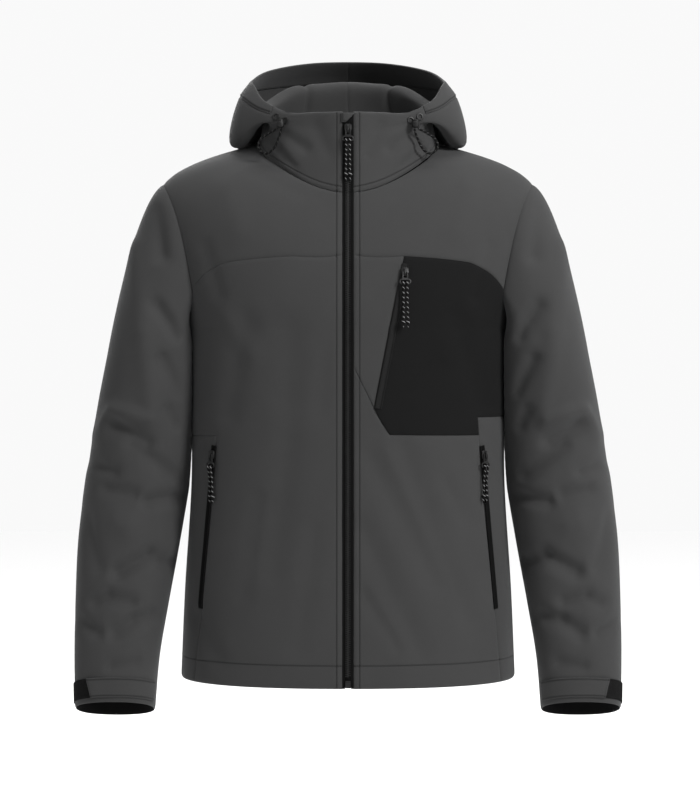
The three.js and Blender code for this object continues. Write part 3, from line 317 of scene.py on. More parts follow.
@dataclass
class Torso:
    """The torso's form: levels 0 to 1 from the hem to the chest, 1 to 2 over the shoulders."""

    power: float = 2.35
    lift: Ring = Ring(235, 135, 141, 2.35, -100, -172, -150)
    crown: Ring = Ring(313, 112, 124, 2, -38, -100, -30)
    armhole: Armhole = field(default_factory=Armhole)
    rings: Array = table(
        [HEM_Z, 212, 134, 129],
        [-560, 207, 134, 126],
        [-424, 198.5, 131, 121],
        [-330, 199, 132, 125],
        [CHEST_Z, 203, 133, 131],
    )
    front_folds: Array = table(
        [-125, -225, -148, -335, 15, -2.72],
        [-70, -235, -72, -365, 17, -2.38],
        [-72, -370, -92, -530, 16, -2.55],
        [134, -220, 166, -325, 15, -2.72],
        [30, -390, 112, -545, 16, -3.06],
        [66, -375, 150, -590, 15, -2.72],
        [14, -470, 92, -630, 15, -2.55],
        [-185, -590, -160, -640, 12, -2.55],
        [-150, -215, -120, -262, 14, 2.55],
        [150, -215, 122, -262, 14, 2.55],
        [-150, -60, -135, -110, 18, 2.04],
        [150, -60, 135, -110, 18, 2.04],
        [18, -554, 61, -621, 9, -2.04],
        [-40, -480, -60, -620, 13, -1.53],
        [-110, -440, -128, -560, 12, -1.53],
        [-28, -260, -34, -330, 11, -1.02],
        [120, -420, 150, -470, 10, -1.53],
        [-176, -130, -158, -190, 9, -2.04],
        [176, -130, 158, -190, 9, -2.04],
        [-60, -60, -120, -30, 12, -1.36],
        [60, -60, 120, -30, 12, -1.36],
    )
    back_folds: Array = table(
        [-150, -150, -90, -215, 17, -3.2],
        [150, -160, 92, -220, 17, -3.2],
        [-70, -300, -95, -470, 18, -3.2],
        [78, -290, 88, -480, 18, -3.2],
        [-20, -380, 25, -470, 20, -2.4],
        [-150, -480, -120, -610, 16, -2.88],
        [150, -470, 128, -600, 16, -2.88],
        [-30, -90, -24, -190, 16, -1.6],
        [34, -100, 30, -200, 16, -1.6],
        [-30, -520, -44, -640, 14, -1.6],
        [40, -530, 60, -640, 14, -1.6],
    )

    def points(self, u: Array, v: Array) -> Array:
        """The bare form. Below the chest a ring at each height, above it a Bezier per meridian.

        Args:
            u: angles from the front.
            v: levels.

        Returns:
            The points, (..., 3).
        """
        u, v = np.broadcast_arrays(np.asarray(u, float), np.asarray(v, float))
        z = mixed(HEM_Z, CHEST_Z, np.minimum(v, 1))
        ring = hermite_rows(self.rings, z)
        deep = np.where(np.cos(u) > 0, ring[..., 2], ring[..., 3])
        x, y = plan(u, ring[..., 1], deep, self.power)
        lower = np.stack([x, y, z], axis=-1)
        chest = self.rings[-1]
        start = Ring(*chest[1:], self.power, CHEST_Z, CHEST_Z, CHEST_Z).points(u)
        t = np.maximum(v - 1, 0)[..., None]
        upper = bezier(start, self.lift.points(u), self.crown.points(u), neck_points(u), t)
        return np.where((v <= 1)[..., None], lower, upper)

    def cloth(self, u: Array, v: Array) -> tuple[Array, Array]:
        """The outer face with its folds, which fade out at the hem and the neck.

        Args:
            u: angles from the front, below 0 on the wearer's right.
            v: levels.

        Returns:
            The points and their normals.
        """
        point = self.points(u, v)
        normal = normals_of(self.points, u, v)
        x, z = point[..., 0], point[..., 2]
        front, back = smooth(-point[..., 1], 35, 70), smooth(point[..., 1], 35, 70)
        lift = front * fold_lift(self.front_folds, x, z) + back * fold_lift(self.back_folds, x, z)
        edge = smooth(z, HEM_Z, HEM_Z + 30) * (1 - smooth(v, 1.8, 1.97))
        return point + normal * (lift * edge)[..., None], normal

    def laid(self, places: Array, way: int = 1) -> tuple[Array, Array, Array]:
        """Points, normals and seam depth of the cloth at places, mirrored where the way is -1."""
        u, v = places[..., 0], places[..., 1]
        return *self.cloth(way * u, v), self.armhole.firmness(u, v)

    def levels_at(self, angle: Array, z: Array) -> Array:
        """The level at which each meridian passes a height, by halving above the chest."""
        low, high = np.ones_like(z), np.full_like(z, 2.0)
        for _ in range(26):
            middle = (low + high) / 2
            under = self.points(angle, middle)[..., 2] < z
            low, high = np.where(under, middle, low), np.where(under, high, middle)
        return np.where(z <= CHEST_Z, (z - HEM_Z) / (CHEST_Z - HEM_Z), low)

    def cleared(self, point: Array, gap: Array) -> Array:
        """Points pushed sideways until they are a gap off the torso, below the shoulders."""
        angle = np.arctan2(point[..., 0], -point[..., 1])
        side = self.points(angle, self.levels_at(angle, point[..., 2]))
        reach = np.hypot(side[..., 0], side[..., 1]) + gap
        away = np.hypot(point[..., 0], point[..., 1])
        push = np.where((away < reach) & (point[..., 2] <= -60), reach / away, 1.0)
        return point * np.stack([push, push, np.ones_like(push)], axis=-1)

    def rested(self, point: Array, angle: Array, gap: float) -> Array:
        """Points lifted until they lie a gap above the shoulders and the back."""
        away = np.hypot(point[..., 0], point[..., 1])
        low, high = np.full_like(away, 1.3), np.full_like(away, 2.0)
        for _ in range(24):
            middle = (low + high) / 2
            under = self.points(angle, middle)
            outside = np.hypot(under[..., 0], under[..., 1]) > away
            low, high = np.where(outside, middle, low), np.where(outside, high, middle)
        floor = self.points(angle, low)[..., 2] + gap * smooth(low, 2, 1.96)
        lifted = point.copy()
        lifted[..., 2] = np.maximum(point[..., 2], floor)
        return lifted

    def front_place(self, crossing: float | Sequence[float]) -> Array:
        """A place on the front from x and z, or on the side seam from z alone."""
        if not isinstance(crossing, (list, tuple)):
            level = self.levels_at(np.array([QUARTER]), np.array([float(crossing)]))
            return np.array([QUARTER, level[0]])
        x, z = crossing
        level = self.levels_at(np.array([0.5]), np.array([float(z)]))[0]
        return place_at(self.points, x, z, (math.asin(min(0.97, abs(x) / 200)), level))

    def straight(self, start: Sequence[float], end: Sequence[float], t: Array) -> Array:
        """Places along a line that looks straight from the front, from x and z of its ends."""
        steps = np.linspace(0, 1, 13)
        ends = np.array([start, end], float)
        places = np.array([self.front_place(tuple(mixed(*ends, k))) for k in steps])
        return sampled(t, steps, places)


# ---- Grids of places


def spaced(length: float, cell: float = CELL, edges: Sequence[float] = (0.5, 1.3, 2.6)) -> Array:
    """Steps from 0 to 1 along a length in mm, even in the middle and closer beside both ends."""
    start = np.array([0.0, *edges[:-1]])
    count = max(2, round((length - 2 * edges[-1]) / cell) + 1)
    inner = np.linspace(edges[-1], length - edges[-1], count)
    return np.concatenate([start, inner, (length - start)[::-1]]) / length


def patch(bottom: Array, top: Array, left: Array, right: Array, s: Array, t: Array) -> Array:
    """Places over a four-sided patch.

    Straight lines from the bottom to the top bend with the left side by (1 - s)^2 of its bend, and
    with the right side by s^2 of its own.

    Args:
        bottom: places of the lower side at s, (columns, 2).
        top: places of the upper side at s.
        left: places of the left side at t, (rows, 2).
        right: places of the right side at t.
        s: steps across.
        t: steps up.

    Returns:
        The places, (rows, columns, 2).
    """
    up = t[:, None, None]
    near = (1 - s)[None, :, None] ** 2 * (left - mixed(bottom[0], top[0], t[:, None]))[:, None]
    far = s[None, :, None] ** 2 * (right - mixed(bottom[-1], top[-1], t[:, None]))[:, None]
    return mixed(bottom[None], top[None], up) + near + far


def spline_through(places: Sequence[Array], s: Array) -> Array:
    """Places evenly along a uniform Catmull-Rom curve, by the length that it has in u and v."""
    controls = np.array(places)
    full = np.concatenate([controls[:1], controls, controls[-1:]])
    at = np.linspace(0, len(controls) - 1, 400)
    i = np.minimum(at.astype(int), len(controls) - 2)
    t = (at - i)[:, None]
    p0, p1, p2, p3 = (full[i + k] for k in range(4))
    start, end = (p2 - p0) / 2, (p3 - p1) / 2
    curve = p1 + start * t + (3 * (p2 - p1) - 2 * start - end) * t**2
    curve = curve + (2 * (p1 - p2) + start + end) * t**3
    arc = lengths(curve)
    return sampled(s * arc[-1], arc, curve)


@dataclass
class FrontCut:
    """Seams of one front, from the hem to the yoke seam, as places where its pieces meet."""

    torso: Torso
    crossings: Sequence[Sequence[float | Sequence[float]]]
    yoke_bend: tuple[float, float] = (172, -160)
    row_lengths: tuple[float, ...] = (308, 22, 13, 98, 80)
    column_lengths: tuple[float, ...] = (47, 125, 75)
    coarse_columns: tuple[int, ...] = (3, 6, 3)
    armhole_steps: int = 5
    yoke_length: float = 140

    def __post_init__(self) -> None:
        """Works out the steps and the places where seams cross."""
        self.rows = [spaced(length) for length in self.row_lengths]
        self.columns = [spaced(length) for length in self.column_lengths]
        self.keys = [[self.torso.front_place(c) for c in row] for row in self.crossings]
        self.keys[5].append(self.torso.armhole.places(np.array(self.armhole_steps)))
        self.row_at = np.cumsum([0, *(len(t) - 1 for t in self.rows)])
        self.column_at = np.cumsum([0, *(len(s) - 1 for s in self.columns)])

    def beside_zip(self, places: Array) -> Array:
        """Places level with others and on the folded edge beside the zip."""
        depth = -self.torso.points(np.zeros(len(places)), places[:, 1])[:, 1]
        return np.stack([np.arcsin(ZIP_EDGE / depth), places[:, 1]], axis=-1)

    def across(self, row: int, block: int) -> Array:
        """Places along a seam between two crossings."""
        keys, s = self.keys[row], self.columns[block]
        if (row, block) == (5, 2):
            bend = self.torso.front_place(self.yoke_bend)
            return spline_through([keys[2], bend, keys[3]], s)
        return mixed(keys[block], keys[block + 1], s[:, None])

    def upright(self, span: int, line: int) -> Array:
        """Places up one side of a block, which follows the armhole and the zip."""
        t = self.rows[span]
        if (span, line) == (4, 3):
            return self.torso.armhole.places(2 * self.armhole_steps - t * self.armhole_steps)
        if line == 1 and span > 2:
            return self.torso.straight(self.crossings[span][1], self.crossings[span + 1][1], t)
        side = mixed(self.keys[span][line], self.keys[span + 1][line], t[:, None])
        return self.beside_zip(side) if line == 0 else side

    def places(self) -> Array:
        """Places of the whole front, (rows, columns, 2)."""
        bands = []
        for k, t in enumerate(self.rows):
            blocks = [
                patch(
                    self.across(k, c),
                    self.across(k + 1, c),
                    self.upright(k, c),
                    self.upright(k, c + 1),
                    s,
                    t,
                )
                for c, s in enumerate(self.columns)
            ]
            band = np.concatenate([blocks[0], *(b[:, 1:] for b in blocks[1:])], axis=1)
            bands.append(band if k == 0 else band[1:])
        return np.concatenate(bands)

    def yoke_places(self) -> Array:
        """Places of the yoke, from its seam and the front of the armhole up to the neck seam."""
        hole = spaced(85)
        ends = np.cumsum([0, *self.coarse_columns, self.armhole_steps])
        steps = [*self.columns, hole]
        counts = [*self.coarse_columns, self.armhole_steps]
        coarse = [ends[i] + counts[i] * s[(i > 0) :] for i, s in enumerate(steps)]
        s = np.concatenate(coarse) / ends[-1]
        seam = [self.across(5, c)[(c > 0) :] for c in range(3)]
        seam.append(self.torso.armhole.places(self.armhole_steps * (1 - hole))[1:])
        bottom = np.concatenate(seam)
        start = math.asin(ZIP_EDGE / NECK_FRONT)
        top = np.stack([mixed(start, QUARTER, s), np.full_like(s, 2.0)], axis=-1)
        t = spaced(self.yoke_length)
        left = self.beside_zip(mixed(bottom[0], top[0], t[:, None]))
        right = mixed(bottom[-1], top[-1], t[:, None])
        return patch(bottom, top, left, right, s, t)


LEFT_CROSSINGS = (
    ((ZIP_EDGE, HEM_Z), (54, HEM_Z), (191, HEM_Z), HEM_Z),
    ((ZIP_EDGE, -306), (51, -361), (162.6, -363), -366),
    ((ZIP_EDGE, -291), (38, -341), (161.6, -341), -342),
    ((ZIP_EDGE, -278), (31.8, -328.5), (160.8, -328), -328),
    ((ZIP_EDGE, -205), (51.2, -230), (157, -232), CHEST_Z),
    ((ZIP_EDGE, -141), (68.4, -142.3), (150, -150)),
)
RIGHT_CROSSINGS = (
    ((ZIP_EDGE, HEM_Z), (54, HEM_Z), (192, HEM_Z), HEM_Z),
    ((ZIP_EDGE, -363), (52, -363), (162.6, -363), -366),
    ((ZIP_EDGE, -341), (52, -341), (161.6, -341), -342),
    ((ZIP_EDGE, -318), (54, -320), (160.8, -322), -324),
    ((ZIP_EDGE, -215), (60, -220), (157, -228), CHEST_Z),
    ((ZIP_EDGE, -141), (68.4, -142.3), (150, -150)),
)


def back_places(armhole: Armhole) -> Array:
    """Places of the back, up the side seams and round the armholes to the shoulder seams."""
    s = spaced(430)
    u = QUARTER * (1 + 2 * s)
    low = spaced(441)
    lower = np.stack(np.broadcast_arrays(u[None], low[:, None]), axis=-1)
    share = 10 / 14
    hole, seam = spaced(200), spaced(100)
    near = np.concatenate(
        [
            armhole.places(10 + 10 * hole),
            mixed(armhole.places(np.array(20.0)), np.array([QUARTER, 2.0]), seam[1:, None]),
        ]
    )
    t = np.concatenate([hole * share, share + seam[1:] * (1 - share)])
    far = np.stack([2 * math.pi - near[:, 0], near[:, 1]], axis=-1)
    top = np.stack([u, np.full_like(u, 2.0)], axis=-1)
    upper = patch(lower[-1], top, near, far, s, t)
    return np.concatenate([lower, upper[1:]])


# ---- The sleeves' and the hood's forms


@dataclass
class SleeveForm:
    """A sleeve: levels 0 to 1 over the cap, 1 to 2 down the arm; turn 0 is its outer side."""

    torso: Torso
    power: float = 2.25
    bicep: float = -262.0
    cuff: float = -706.0
    clear: float = 2.8
    depth: float = 1.65
    rings: Array = table(
        [-706, 341, 241, -62, 40, 20],
        [-640, 342.5, 236, -52, 46, 18],
        [-577, 342.5, 226, -38, 52, 14],
        [-500, 340.5, 212.5, -22, 59, 8],
        [-424, 332.5, 200, -12, 65, 3],
        [-382, 325, 195, -9, 68, 1],
        [-323, 315.5, 189, -9, 72, 0],
        [-262, 303.5, 186, -9, 76, 0],
    )
    front_folds: Array = table(
        [236, -83, 231, -138, 11, -4],
        [206, -99, 201, -119, 9, -3],
        [267, -128, 254, -235, 14, 2.5],
        [254, -235, 244, -328, 13, 2.5],
        [236, -203, 210, -240, 9, -4],
        [229, -269, 207, -309, 9, -3.5],
        [222, -333, 213, -352, 8, -3],
        [316, -364, 290, -333, 11, 4],
        [290, -333, 246, -342, 10, 4],
        [290, -350, 250, -373, 10, -5],
        [325, -399, 292, -409, 9, -3.5],
        [267, -375, 217, -413, 10, -4],
        [301, -430, 267, -436, 9, -3.5],
        [248, -446, 213, -441, 9, -4.5],
        [284, -471, 276, -474, 17, 3.5],
        [330, -462, 311, -526, 11, -2.5],
        [284, -532, 245, -513, 10, -5.5],
        [245, -513, 224, -523, 10, -4.5],
        [314, -570, 297, -563, 9, -4],
        [297, -563, 268, -569, 9, -4],
        [287, -606, 264, -592, 10, -4.5],
        [264, -592, 243, -589, 10, -4.5],
        [334, -596, 311, -607, 9, -3.5],
        [290, -650, 262, -645, 9, -3],
    )
    back_folds: Array = table(
        [240, -110, 232, -190, 14, -4],
        [300, -300, 245, -330, 13, -5],
        [312, -380, 250, -372, 11, -5.5],
        [300, -415, 240, -400, 11, -5.5],
        [322, -445, 262, -452, 11, -5],
        [310, -520, 262, -540, 12, -4.5],
        [330, -590, 280, -600, 11, -4],
    )

    def ring_points(self, z: Array, turn: Array) -> Array:
        """Points of the arm's tilted superellipses at a height."""
        ring = hermite_rows(self.rings, z)
        outer, inner, middle, deep, tilt = (ring[..., k] for k in range(1, 6))
        c, s = np.cos(turn), np.sin(turn)
        across = np.abs(2 * c / (outer - inner)) ** self.power
        reach = (across + np.abs(s / deep) ** self.power) ** (-1 / self.power)
        tilt = np.radians(tilt)
        x = (outer + inner) / 2 + reach * c
        return np.stack(
            [x, middle - reach * s * np.cos(tilt), z + reach * s * np.sin(tilt)], axis=-1
        )

    def points(self, turn: Array, level: Array) -> Array:
        """The bare form: a Bezier per meridian over the cap, rings down the arm.

        Args:
            turn: angles round the arm, from its outer side to the front.
            level: levels.

        Returns:
            The points, (..., 3), kept clear of the torso.
        """
        turn, level = np.broadcast_arrays(np.asarray(turn, float), np.asarray(level, float))
        z = mixed(self.bicep, self.cuff, np.maximum(level - 1, 0))
        arm = self.ring_points(z, turn)
        hole = self.torso.armhole.places(turn / (2 * math.pi) * self.torso.armhole.nodes)
        u, v = hole[..., 0], hole[..., 1]
        start = self.torso.points(u, v)
        middle = self.torso.armhole.middle
        inside = self.torso.points(mixed(u, QUARTER, 0.05), mixed(v, middle, 0.05))
        start = start + unit(inside - start) * SEAM_GAP
        end = self.ring_points(np.full_like(z, self.bicep), turn)
        under = (1 - np.cos(turn)) / 2
        away = unit(
            np.stack([mixed(0.92, 0.12, under), -0.55 * np.sin(turn), mixed(-0.4, -1, under)], -1)
        )
        rise = start[..., 2] - end[..., 2]
        first = start + away * (6 + rise * 0.12 * (1 - under))[..., None]
        line = np.array([-0.17, 0, 0.98])
        second = end + line * (rise * mixed(0.34, 0.4, under))[..., None]
        cap = bezier(start, first, second, end, np.clip(level, 0, 1)[..., None])
        point = np.where((level > 1)[..., None], arm, cap)
        gap = np.where(level > 1, self.clear, self.clear * smooth(level, 0, 0.12))
        return self.torso.cleared(point, gap)

    def cloth(self, turn: Array, level: Array) -> tuple[Array, Array]:
        """The outer face with its folds, which fade out at the armhole, outline and cuff strap."""
        point = self.points(turn, level)
        normal = normals_of(self.points, turn, np.maximum(level, 2 * NOD))
        x, y, z = (point[..., k] for k in range(3))
        ring = hermite_rows(self.rings, z)
        middle, edge = ring[..., 3], ring[..., 1] - np.abs(x)
        front, back = smooth(middle - y, -6, 24), smooth(y - middle, -6, 24)
        lift = front * fold_lift(self.front_folds, x, z) + back * fold_lift(self.back_folds, x, z)
        fade = smooth(np.abs(x), 196, 216) * smooth(level, 0.05, 0.35)
        fade = fade * (1 - smooth(level, 1.9, 1.94)) * mixed(0.45, self.depth, smooth(edge, 2, 22))
        return point + normal * (lift * fade)[..., None], normal


@dataclass
class HoodForm:
    """The hood with its standing collar: level 0 at the neck seam, 1 at the rim."""

    torso: Torso
    rest: float = 3.0
    band_level: float = 0.9
    collar_reach: float = 95.0
    corner_at: float = 141.0
    corner_lift: float = 4.0
    corner_wide: float = 5.0
    stations: Array = table(
        [0, -2, -50, -4, -36, -5.5, -22, -7, -8, -7.5, 4, -8, 15, -8, 25, -8, 36],
        [28, -2, -44, -4, -32, -6, -19, -8, -6, -9, 5, -10, 16, -10, 26, -10, 36],
        [50, 0, -24, 0, -14, -1, -3, -2, 6, -3, 14, -4, 22, -4, 29, -5, 37],
        [66, 1, -6, -2, 6, -3, 18, 0, 24, 7, 26, 14, 24, 14, 38, 7, 53],
        [82, -4, 22, -13, 40, -8, 46, 2, 30, 18, 0, 33, 3, 25, 52, 9, 75],
        [105, -6, 34, -15, 54, -6, 59, 5, 32, 24, -4, 42, 4, 33, 62, 15, 88],
        [132, -6, 44, -12, 74, -2, 79, 9, 36, 34, -24, 66, 6, 62, 74, 36, 105],
        [160, -5, 48, -8, 80, 4, 84, 14, 24, 46, -50, 88, 0, 88, 84, 57, 118],
        [180, -5, 50, -7, 82, 5, 86, 15, 18, 50, -58, 96, -4, 96, 88, 64, 121],
        [200, -5, 48, -8, 80, 4, 84, 14, 24, 46, -50, 88, 0, 88, 84, 57, 118],
    )
    folds: Array = table(
        [-78, 12, -26, -36, 9, -4.2],
        [85, 14, 54, -8, 8, -3.2],
        [70, -30, 92, -2, 6, -2.2],
        [-60, 24, -20, -6, 9, -1.6],
        [40, 20, 24, -14, 9, -1.6],
    )

    def points(self, angle: Array, level: Array) -> Array:
        """The bare form: a centripetal curve per meridian through the station's control points.

        Args:
            angle: angles from the front.
            level: levels.

        Returns:
            The points, (..., 3), resting on the shoulders.
        """
        angle, level = np.broadcast_arrays(np.asarray(angle, float), np.asarray(level, float))
        turn = np.abs(np.degrees(angle))
        station = hermite_rows(self.stations, np.where(turn > 180, 360 - turn, turn))
        seam = neck_points(angle)
        away = np.stack([np.sin(angle), -np.cos(angle), np.zeros_like(angle)], axis=-1)
        controls = seam[..., None, :] + away[..., None, :] * station[..., 1::2, None]
        controls[..., 2] = station[..., 2::2]
        seam[..., 2] += SEAM_GAP
        curve = round_curve(np.concatenate([seam[..., None, :], controls], axis=-2), level)
        return self.torso.rested(curve, angle, self.rest)

    def cloth(self, angle: Array, level: Array) -> tuple[Array, Array]:
        """The outer face, with soft folds on the front of the collar.

        Behind, the collar bends sharply on each side, where its lift is corner_lift times
        exp(-d / corner_wide) at a distance d from the bend.
        """
        point = self.points(angle, level)
        normal = normals_of(self.points, angle, np.clip(level, 2 * NOD, 1 - 2 * NOD))
        lift = fold_lift(self.folds, point[..., 0], point[..., 2])
        fade = smooth(-point[..., 1], 20, 50) * smooth(level, 0.02, 0.2)
        bend = np.abs(np.abs(angle) - math.radians(self.corner_at)) * self.collar_reach
        corner = self.corner_lift * np.exp(-bend / self.corner_wide)
        corner = corner * smooth(level, 0.03, 0.14) * (1 - smooth(level, 0.42, 0.6))
        return point + normal * (lift * fade + corner)[..., None], normal


# ---- Meshes


def arcs(points: Array, axis: int) -> Array:
    """Length along an axis of a grid up to each point, in mm."""
    steps = np.linalg.norm(np.diff(points, axis=axis), axis=-1)
    pad = [(0, 0), (0, 0)]
    pad[axis] = (1, 0)
    return np.pad(np.cumsum(steps, axis=axis), pad)


def new_object(
    name: str, points: Array, faces: Sequence[Array], uv: Array | None = None
) -> bpy.types.Object:
    """A smooth-shaded object from points in mm and groups of faces, turned to face outwards.

    Args:
        name: the piece's name.
        points: the points, (count, 3).
        faces: arrays of faces with the same number of corners each.
        uv: metres across and up for each corner of each face, in order, or None.

    Returns:
        The new object, in the scene and in metres.
    """
    volume = 0.0
    for group in faces:
        first = points[group[:, 0]]
        for k in range(1, group.shape[1] - 1):
            turned = np.cross(points[group[:, k]], points[group[:, k + 1]])
            volume += float((first * turned).sum())
    if volume < 0:
        faces = [group[:, ::-1] for group in faces]
    mesh = bpy.data.meshes.new(name)
    loops = np.concatenate([group.ravel() for group in faces])
    sizes = np.concatenate([np.full(len(group), group.shape[1]) for group in faces])
    mesh.vertices.add(len(points))
    mesh.vertices.foreach_set("co", (points * MM).astype(np.float32).ravel())
    mesh.loops.add(len(loops))
    mesh.loops.foreach_set("vertex_index", loops.astype(np.int32))
    mesh.polygons.add(len(sizes))
    starts = np.concatenate([[0], np.cumsum(sizes)[:-1]])
    mesh.polygons.foreach_set("loop_start", starts.astype(np.int32))
    mesh.update(calc_edges=True)
    mesh.polygons.foreach_set("use_smooth", np.ones(len(sizes), bool))
    if uv is not None:
        if volume < 0:
            ends = np.cumsum(sizes)
            order = np.repeat(ends + starts - 1, sizes) - np.arange(len(loops))
            uv = uv[order]
        layer = mesh.uv_layers.new(name="UVMap")
        layer.data.foreach_set("uv", uv.astype(np.float32).ravel())
    obj = bpy.data.objects.new(name, mesh)
    bpy.context.scene.collection.objects.link(obj)
    return obj


def tube_faces(rings: int, sides: int) -> tuple[Array, Array]:
    """Quads round a tube whose rings of points follow each other, and the caps at its ends."""
    index = np.arange(rings * sides).reshape(rings, sides)
    after = np.roll(index, -1, axis=1)
    quads = np.stack([index[:-1], after[:-1], after[1:], index[1:]], axis=-1).reshape(-1, 4)
    return quads, np.stack([index[0][::-1], index[-1]])


def shell_faces(index: Array, under: int, covers: Array, ring: bool) -> tuple[Array, Array]:
    """Faces of a closed wall over the covered cells of a grid.

    Args:
        index: the outer point at each place of the grid.
        under: how much further the inner points are numbered.
        covers: the cells that belong to the piece.
        ring: whether the last column of cells meets the first.

    Returns:
        The faces of both sides, and those of the rims.
    """
    a, b, c, d = index[:-1, :-1], index[:-1, 1:], index[1:, 1:], index[1:, :-1]
    outer = np.stack([a, b, c, d], axis=-1)[covers]
    inner = np.stack([a, d, c, b], axis=-1)[covers] + under
    tall = np.pad(covers, ((1, 1), (0, 0)))
    sides = (
        np.concatenate([covers[:, -1:], covers, covers[:, :1]], axis=1)
        if ring
        else np.pad(covers, ((0, 0), (1, 1)))
    )
    edges = (
        (a, b, covers & ~tall[:-2]),
        (c, d, covers & ~tall[2:]),
        (d, a, covers & ~sides[:, :-2]),
        (b, c, covers & ~sides[:, 2:]),
    )
    rims = [np.stack([q, p, p + under, q + under], axis=-1)[edge] for p, q, edge in edges]
    return np.concatenate([outer, inner]), np.concatenate(rims)


@dataclass
class Cloth:
    """One cut piece of cloth: a thin wall over part of a grid of places.

    Its edges turn in at the seams, and their inner side runs on a little, as an allowance does.
    """

    name: str
    points: Array
    normals: Array
    covers: Array | None = None
    ring: bool = False
    wall: float = WALL
    roll: float = 0.95
    reach: float = 1.6
    gap: float = 0.22
    allowance: float = 0.4
    pucker: float = 0.16
    pucker_pitch: float = 11.0
    pucker_reach: float = 7.0
    lines: tuple[Array, ...] = ()
    firm: Array | None = None
    tuck: Array | None = None
    # Whether the inner faces take a near-black second finish: painted shade for the dark inside of a tube
    shaded_inside: bool = False

    def inward(self, wrapped: Array, covers: Array) -> Array:
        """The way from each point towards the middle of its covered cells."""
        middle = (
            self.points[:-1, :-1] + self.points[:-1, 1:] + self.points[1:, :-1] + self.points[1:, 1:]
        ) / 4
        total = np.zeros((wrapped.size, 3))
        for rows, columns in (((0, -1), (0, -1)), ((0, -1), (1, 0)), ((1, 0), (0, -1)), ((1, 0), (1, 0))):
            corner = wrapped[rows[0] : rows[1] or None, columns[0] : columns[1] or None]
            away = middle - self.points.reshape(-1, 3)[corner]
            np.add.at(total, corner[covers], unit(away)[covers])
        return unit(total)

    def build(self) -> bpy.types.Object:
        """Makes the wall.

        Off the edge by a distance d the outer face sinks by roll * exp(-(d / reach)^2), and seams
        pucker it by a sine along the piece that dies out as exp(-d / 7).

        Returns:
            The piece, with a UV map in metres and the distances to its rows of stitches.
        """
        rows, columns = self.points.shape[:2]
        covers = self.covers if self.covers is not None else np.ones((rows - 1, columns - 1), bool)
        index = np.arange(rows * columns).reshape(rows, columns)
        wrapped = index.copy()
        if self.ring:
            wrapped[:, -1] = wrapped[:, 0]
        walls, rims = shell_faces(wrapped, index.size, covers, self.ring)
        uv_walls, uv_rims = shell_faces(index, index.size, covers, self.ring)
        outer = self.points.reshape(-1, 3)
        normal = self.normals.reshape(-1, 3)
        edge = np.unique(rims[:, :2])
        used = np.unique(walls[walls < index.size])
        away = np.full(index.size, FAR)
        for part in np.array_split(used, max(1, len(used) // 2000)):
            far = np.linalg.norm(outer[part, None].astype(np.float32) - outer[edge][None], axis=-1)
            away[part] = far.min(axis=1)
        across, up = arcs(self.points, 1), arcs(self.points, 0)
        across = across - across[:, columns // 2 : columns // 2 + 1]
        flat = np.stack([across, up], axis=-1).reshape(-1, 2)
        ripple = np.sin((flat[:, 0] + flat[:, 1]) * (2 * math.pi / self.pucker_pitch))
        firm = np.ones(index.size) if self.firm is None else self.firm.ravel()
        tuck = np.full(index.size, self.allowance) if self.tuck is None else self.tuck.ravel()
        sink = self.roll * np.exp(-((away / self.reach) ** 2)) * firm
        ripple = ripple * self.pucker * np.exp(-away / self.pucker_reach)
        sink = sink - ripple * smooth(away, 0.5, 4) * firm
        inward = self.inward(wrapped, covers)
        on_edge = np.zeros((index.size, 1))
        on_edge[edge] = 1
        face = outer - normal * sink[:, None] + inward * on_edge * (self.gap * firm)[:, None]
        inner_face = outer - normal * (self.wall - 0.5 * sink.clip(0))[:, None]
        inner_face = inner_face - inward * on_edge * tuck[:, None]
        points = np.concatenate([face, inner_face])
        kept = np.unique(walls)
        number = np.zeros(len(points), int)
        number[kept] = np.arange(len(kept))
        corners = np.concatenate([uv_walls.ravel(), uv_rims.ravel()]) % index.size
        obj = new_object(self.name, points[kept], [number[walls], number[rims]], flat[corners] * MM)
        for name, line in zip(("line_a", "line_b"), (*self.lines, *(np.full(index.shape, FAR),) * 2)):
            attribute = obj.data.attributes.new(name, "FLOAT", "POINT")
            both = np.concatenate([line.ravel(), np.full(index.size, FAR)])
            attribute.data.foreach_set("value", both[kept].astype(np.float32))
        # Painted shade: the inner faces take the near-black second finish
        if self.shaded_inside:
            inside = np.zeros(len(obj.data.polygons), np.int32)
            inside[len(walls) // 2 : len(walls)] = 1
            obj.data.polygons.foreach_set("material_index", inside)
        area = self.cut_area(covers)
        obj["cut_area"] = area[0]
        obj["cut_flat"] = list(area[1:])
        return obj

    def cut_area(self, covers: Array) -> tuple[float, float, float]:
        """Flat area, width and length of the piece, in square metres and metres."""
        p = self.points
        quads = np.cross(p[1:, 1:] - p[:-1, :-1], p[:-1, 1:] - p[1:, :-1]) / 2
        area = np.linalg.norm(quads, axis=-1)[covers].sum()
        wide = (np.linalg.norm(np.diff(p, axis=1), axis=-1)[:-1] * covers).sum(1).max()
        tall = (np.linalg.norm(np.diff(p, axis=0), axis=-1)[:, :-1] * covers).sum(0).max()
        return area * MM * MM, wide * MM, tall * MM


def contour(points: Array, normals: Array, distance: Array, value: float) -> tuple[Array, Array]:
    """The line on a grid where a distance that rises along its rows reaches a value.

    Args:
        points: the grid's points, (rows, columns, 3).
        normals: their normals.
        distance: a number at each point that rises along each row.
        value: the number that the line has.

    Returns:
        The line's points and normals, one for each row.
    """
    after = np.clip((distance < value).sum(axis=1), 1, distance.shape[1] - 1)
    row = np.arange(len(points))
    low, high = distance[row, after - 1], distance[row, after]
    t = ((value - low) / np.maximum(high - low, 1e-9))[:, None]
    line = mixed(points[row, after - 1], points[row, after], t)
    return line, unit(mixed(normals[row, after - 1], normals[row, after], t))


